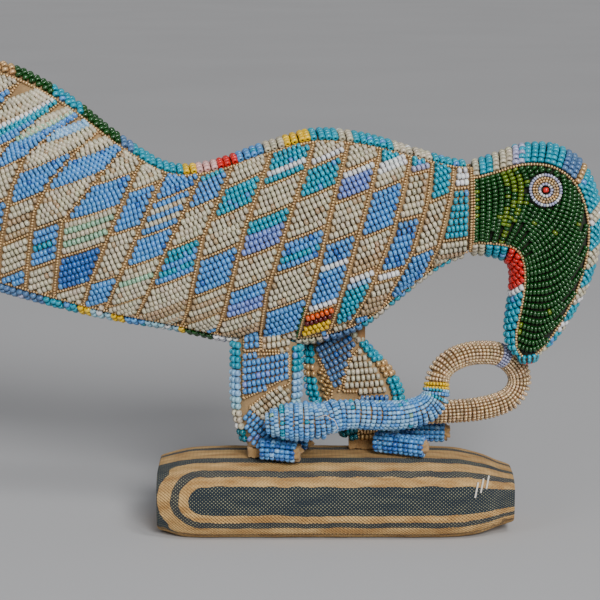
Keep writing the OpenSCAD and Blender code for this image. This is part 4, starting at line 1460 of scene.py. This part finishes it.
SIDES = ((-1, "near"), (1, "far"))
BANDS = (
    ("back", 0.02, 13.98, BODY_EDGE, 90, BACK_COLOURS, 0.05),
    ("belly", 0.02, 13.98, BODY_EDGE, 270, BELLY_COLOURS, 0.05),
    ("crown", 14.02, 23.98, HEAD_EDGE, 90, CROWN_COLOURS, 0.0),
    ("throat", 14.02, 23.98, HEAD_EDGE, 270, THROAT_COLOURS, 0.0),
)
LEGS = (
    ("rear", REAR_LEG, -LEG_Y, REAR_CELLS, REAR_EDGE),
    ("front", FRONT_LEG, LEG_Y, FRONT_CELLS, FRONT_EDGE),
)
LOOSE_THREAD = [(-9, -35.3, 58), (-5, -36.3, 59.5), (-1, -36.2, 57), (0.5, -36.3, 53.5), (-2, -35.9, 51)]

for cover, region, beads in ((bead_body, "", "body_beads"), (bead_head, "head_", "head_beads")):
    for side, name in SIDES:
        cover(side, region + name)
    for side, name in SIDES:
        make_pieces(f"rows_{region}{name}", [f"{beads}_{name}"])
        make_pieces(f"lines_{region}{name}", ["neck_collar"], SMALL_BEAD)

for band, first, last, edge, middle, colours, lean in BANDS:
    wrap_band(band, STATIONS, first, last, edge, middle, colours, lean=lean)
    make_pieces(band, [f"{band}_band"])

for leg, rows, y, cells, colours in LEGS:
    bead_leg(f"{leg}_leg", rows, y, cells)
    make_pieces(f"{leg}_leg", [f"{leg}_leg_beads"])
    make_pieces(f"{leg}_leg_lines", [f"{leg}_leg_beads"], SMALL_BEAD)
for leg, rows, y, cells, colours in LEGS:
    leg_edge(f"{leg}_edge", rows, y, colours)
    make_pieces(f"{leg}_edge", [f"{leg}_leg_edges"])

bead_end("beak_end", narrowing(STATIONS[24], (0, -2.8, 0, -2.4), (-2.8, 0), (2.8, 0), 20), "tttr")
make_pieces("beak_end", [])
bead_end("tail_end", narrowing(STATIONS[0], (-3, 0, -5, 0), (0, -9), (0, 9), 22), "taia")
make_pieces("tail_end", [])

for place, *how in SNAKE_RINGS:
    tube_rings(place, SNAKE, *how)
make_pieces("snake_head", ["snake_head"])
make_pieces("snake_body", ["snake_body"])
make_pieces("snake_bend", ["snake_body"], SMALL_BEAD)
make_pieces("snake_band", ["snake_yellow_band"], SMALL_BEAD)
make_pieces("snake_tail", ["snake_tail_upper", "snake_tail_lower"], SMALL_BEAD)
make_pieces("snake_white", ["snake_white_band"], SMALL_BEAD, SMALL_GLASS)
for toe, places in TOES.items():
    bead_toe(toe, places)
    make_pieces(toe, [toe])

for side, name in SIDES:
    bead_eye(side, name)
    make_pieces(f"eye_{name}", [f"eye_ring_{name}", f"eye_patch_{name}"], SMALL_BEAD)
    make_pieces(f"pupil_{name}", [f"pupil_{name}"])
    cloth_half(f"body_sack_{name}", f"body_cloth_{name}", 0, 14, side)
    cloth_half(f"head_sack_{name}", f"head_cloth_{name}", 14, 24, side)

make_cushion()

loose_thread("loose_thread_head", LOOSE_THREAD, 0.16)
cloth_stump("rear_foot_stump", 1)
cloth_stump("front_foot_stump", 2)
cloth_plugs()
for material, nodes in (
    (STUFFING, ("cushion_padding", "body_stuffing", "head_stuffing")),
    (BEAD_CLOTH, ("rear_leg_stuffing", "front_leg_stuffing", "tail_edge_band")),
    (WOOD, ("cushion_board", "spine_stick", "rear_leg_stick", "front_leg_stick")),
    (PALM, ("tail_ribs",)),
    (CORD, ("stick_lashings",)),
    (IRON, ("neck_wire",)),
    (THREAD, ("cushion_stitches",)),
    (STUMP_CLOTH, ("snake_core",)),
    # The beak's tip takes the near-black cloth too, painted shade between the beads that close it.
    (PAINTED_SHADE_CLOTH, ("beak_tip",)),
):
    for node in nodes:
        finish_node(node, material)

add_floor()
light_studio()
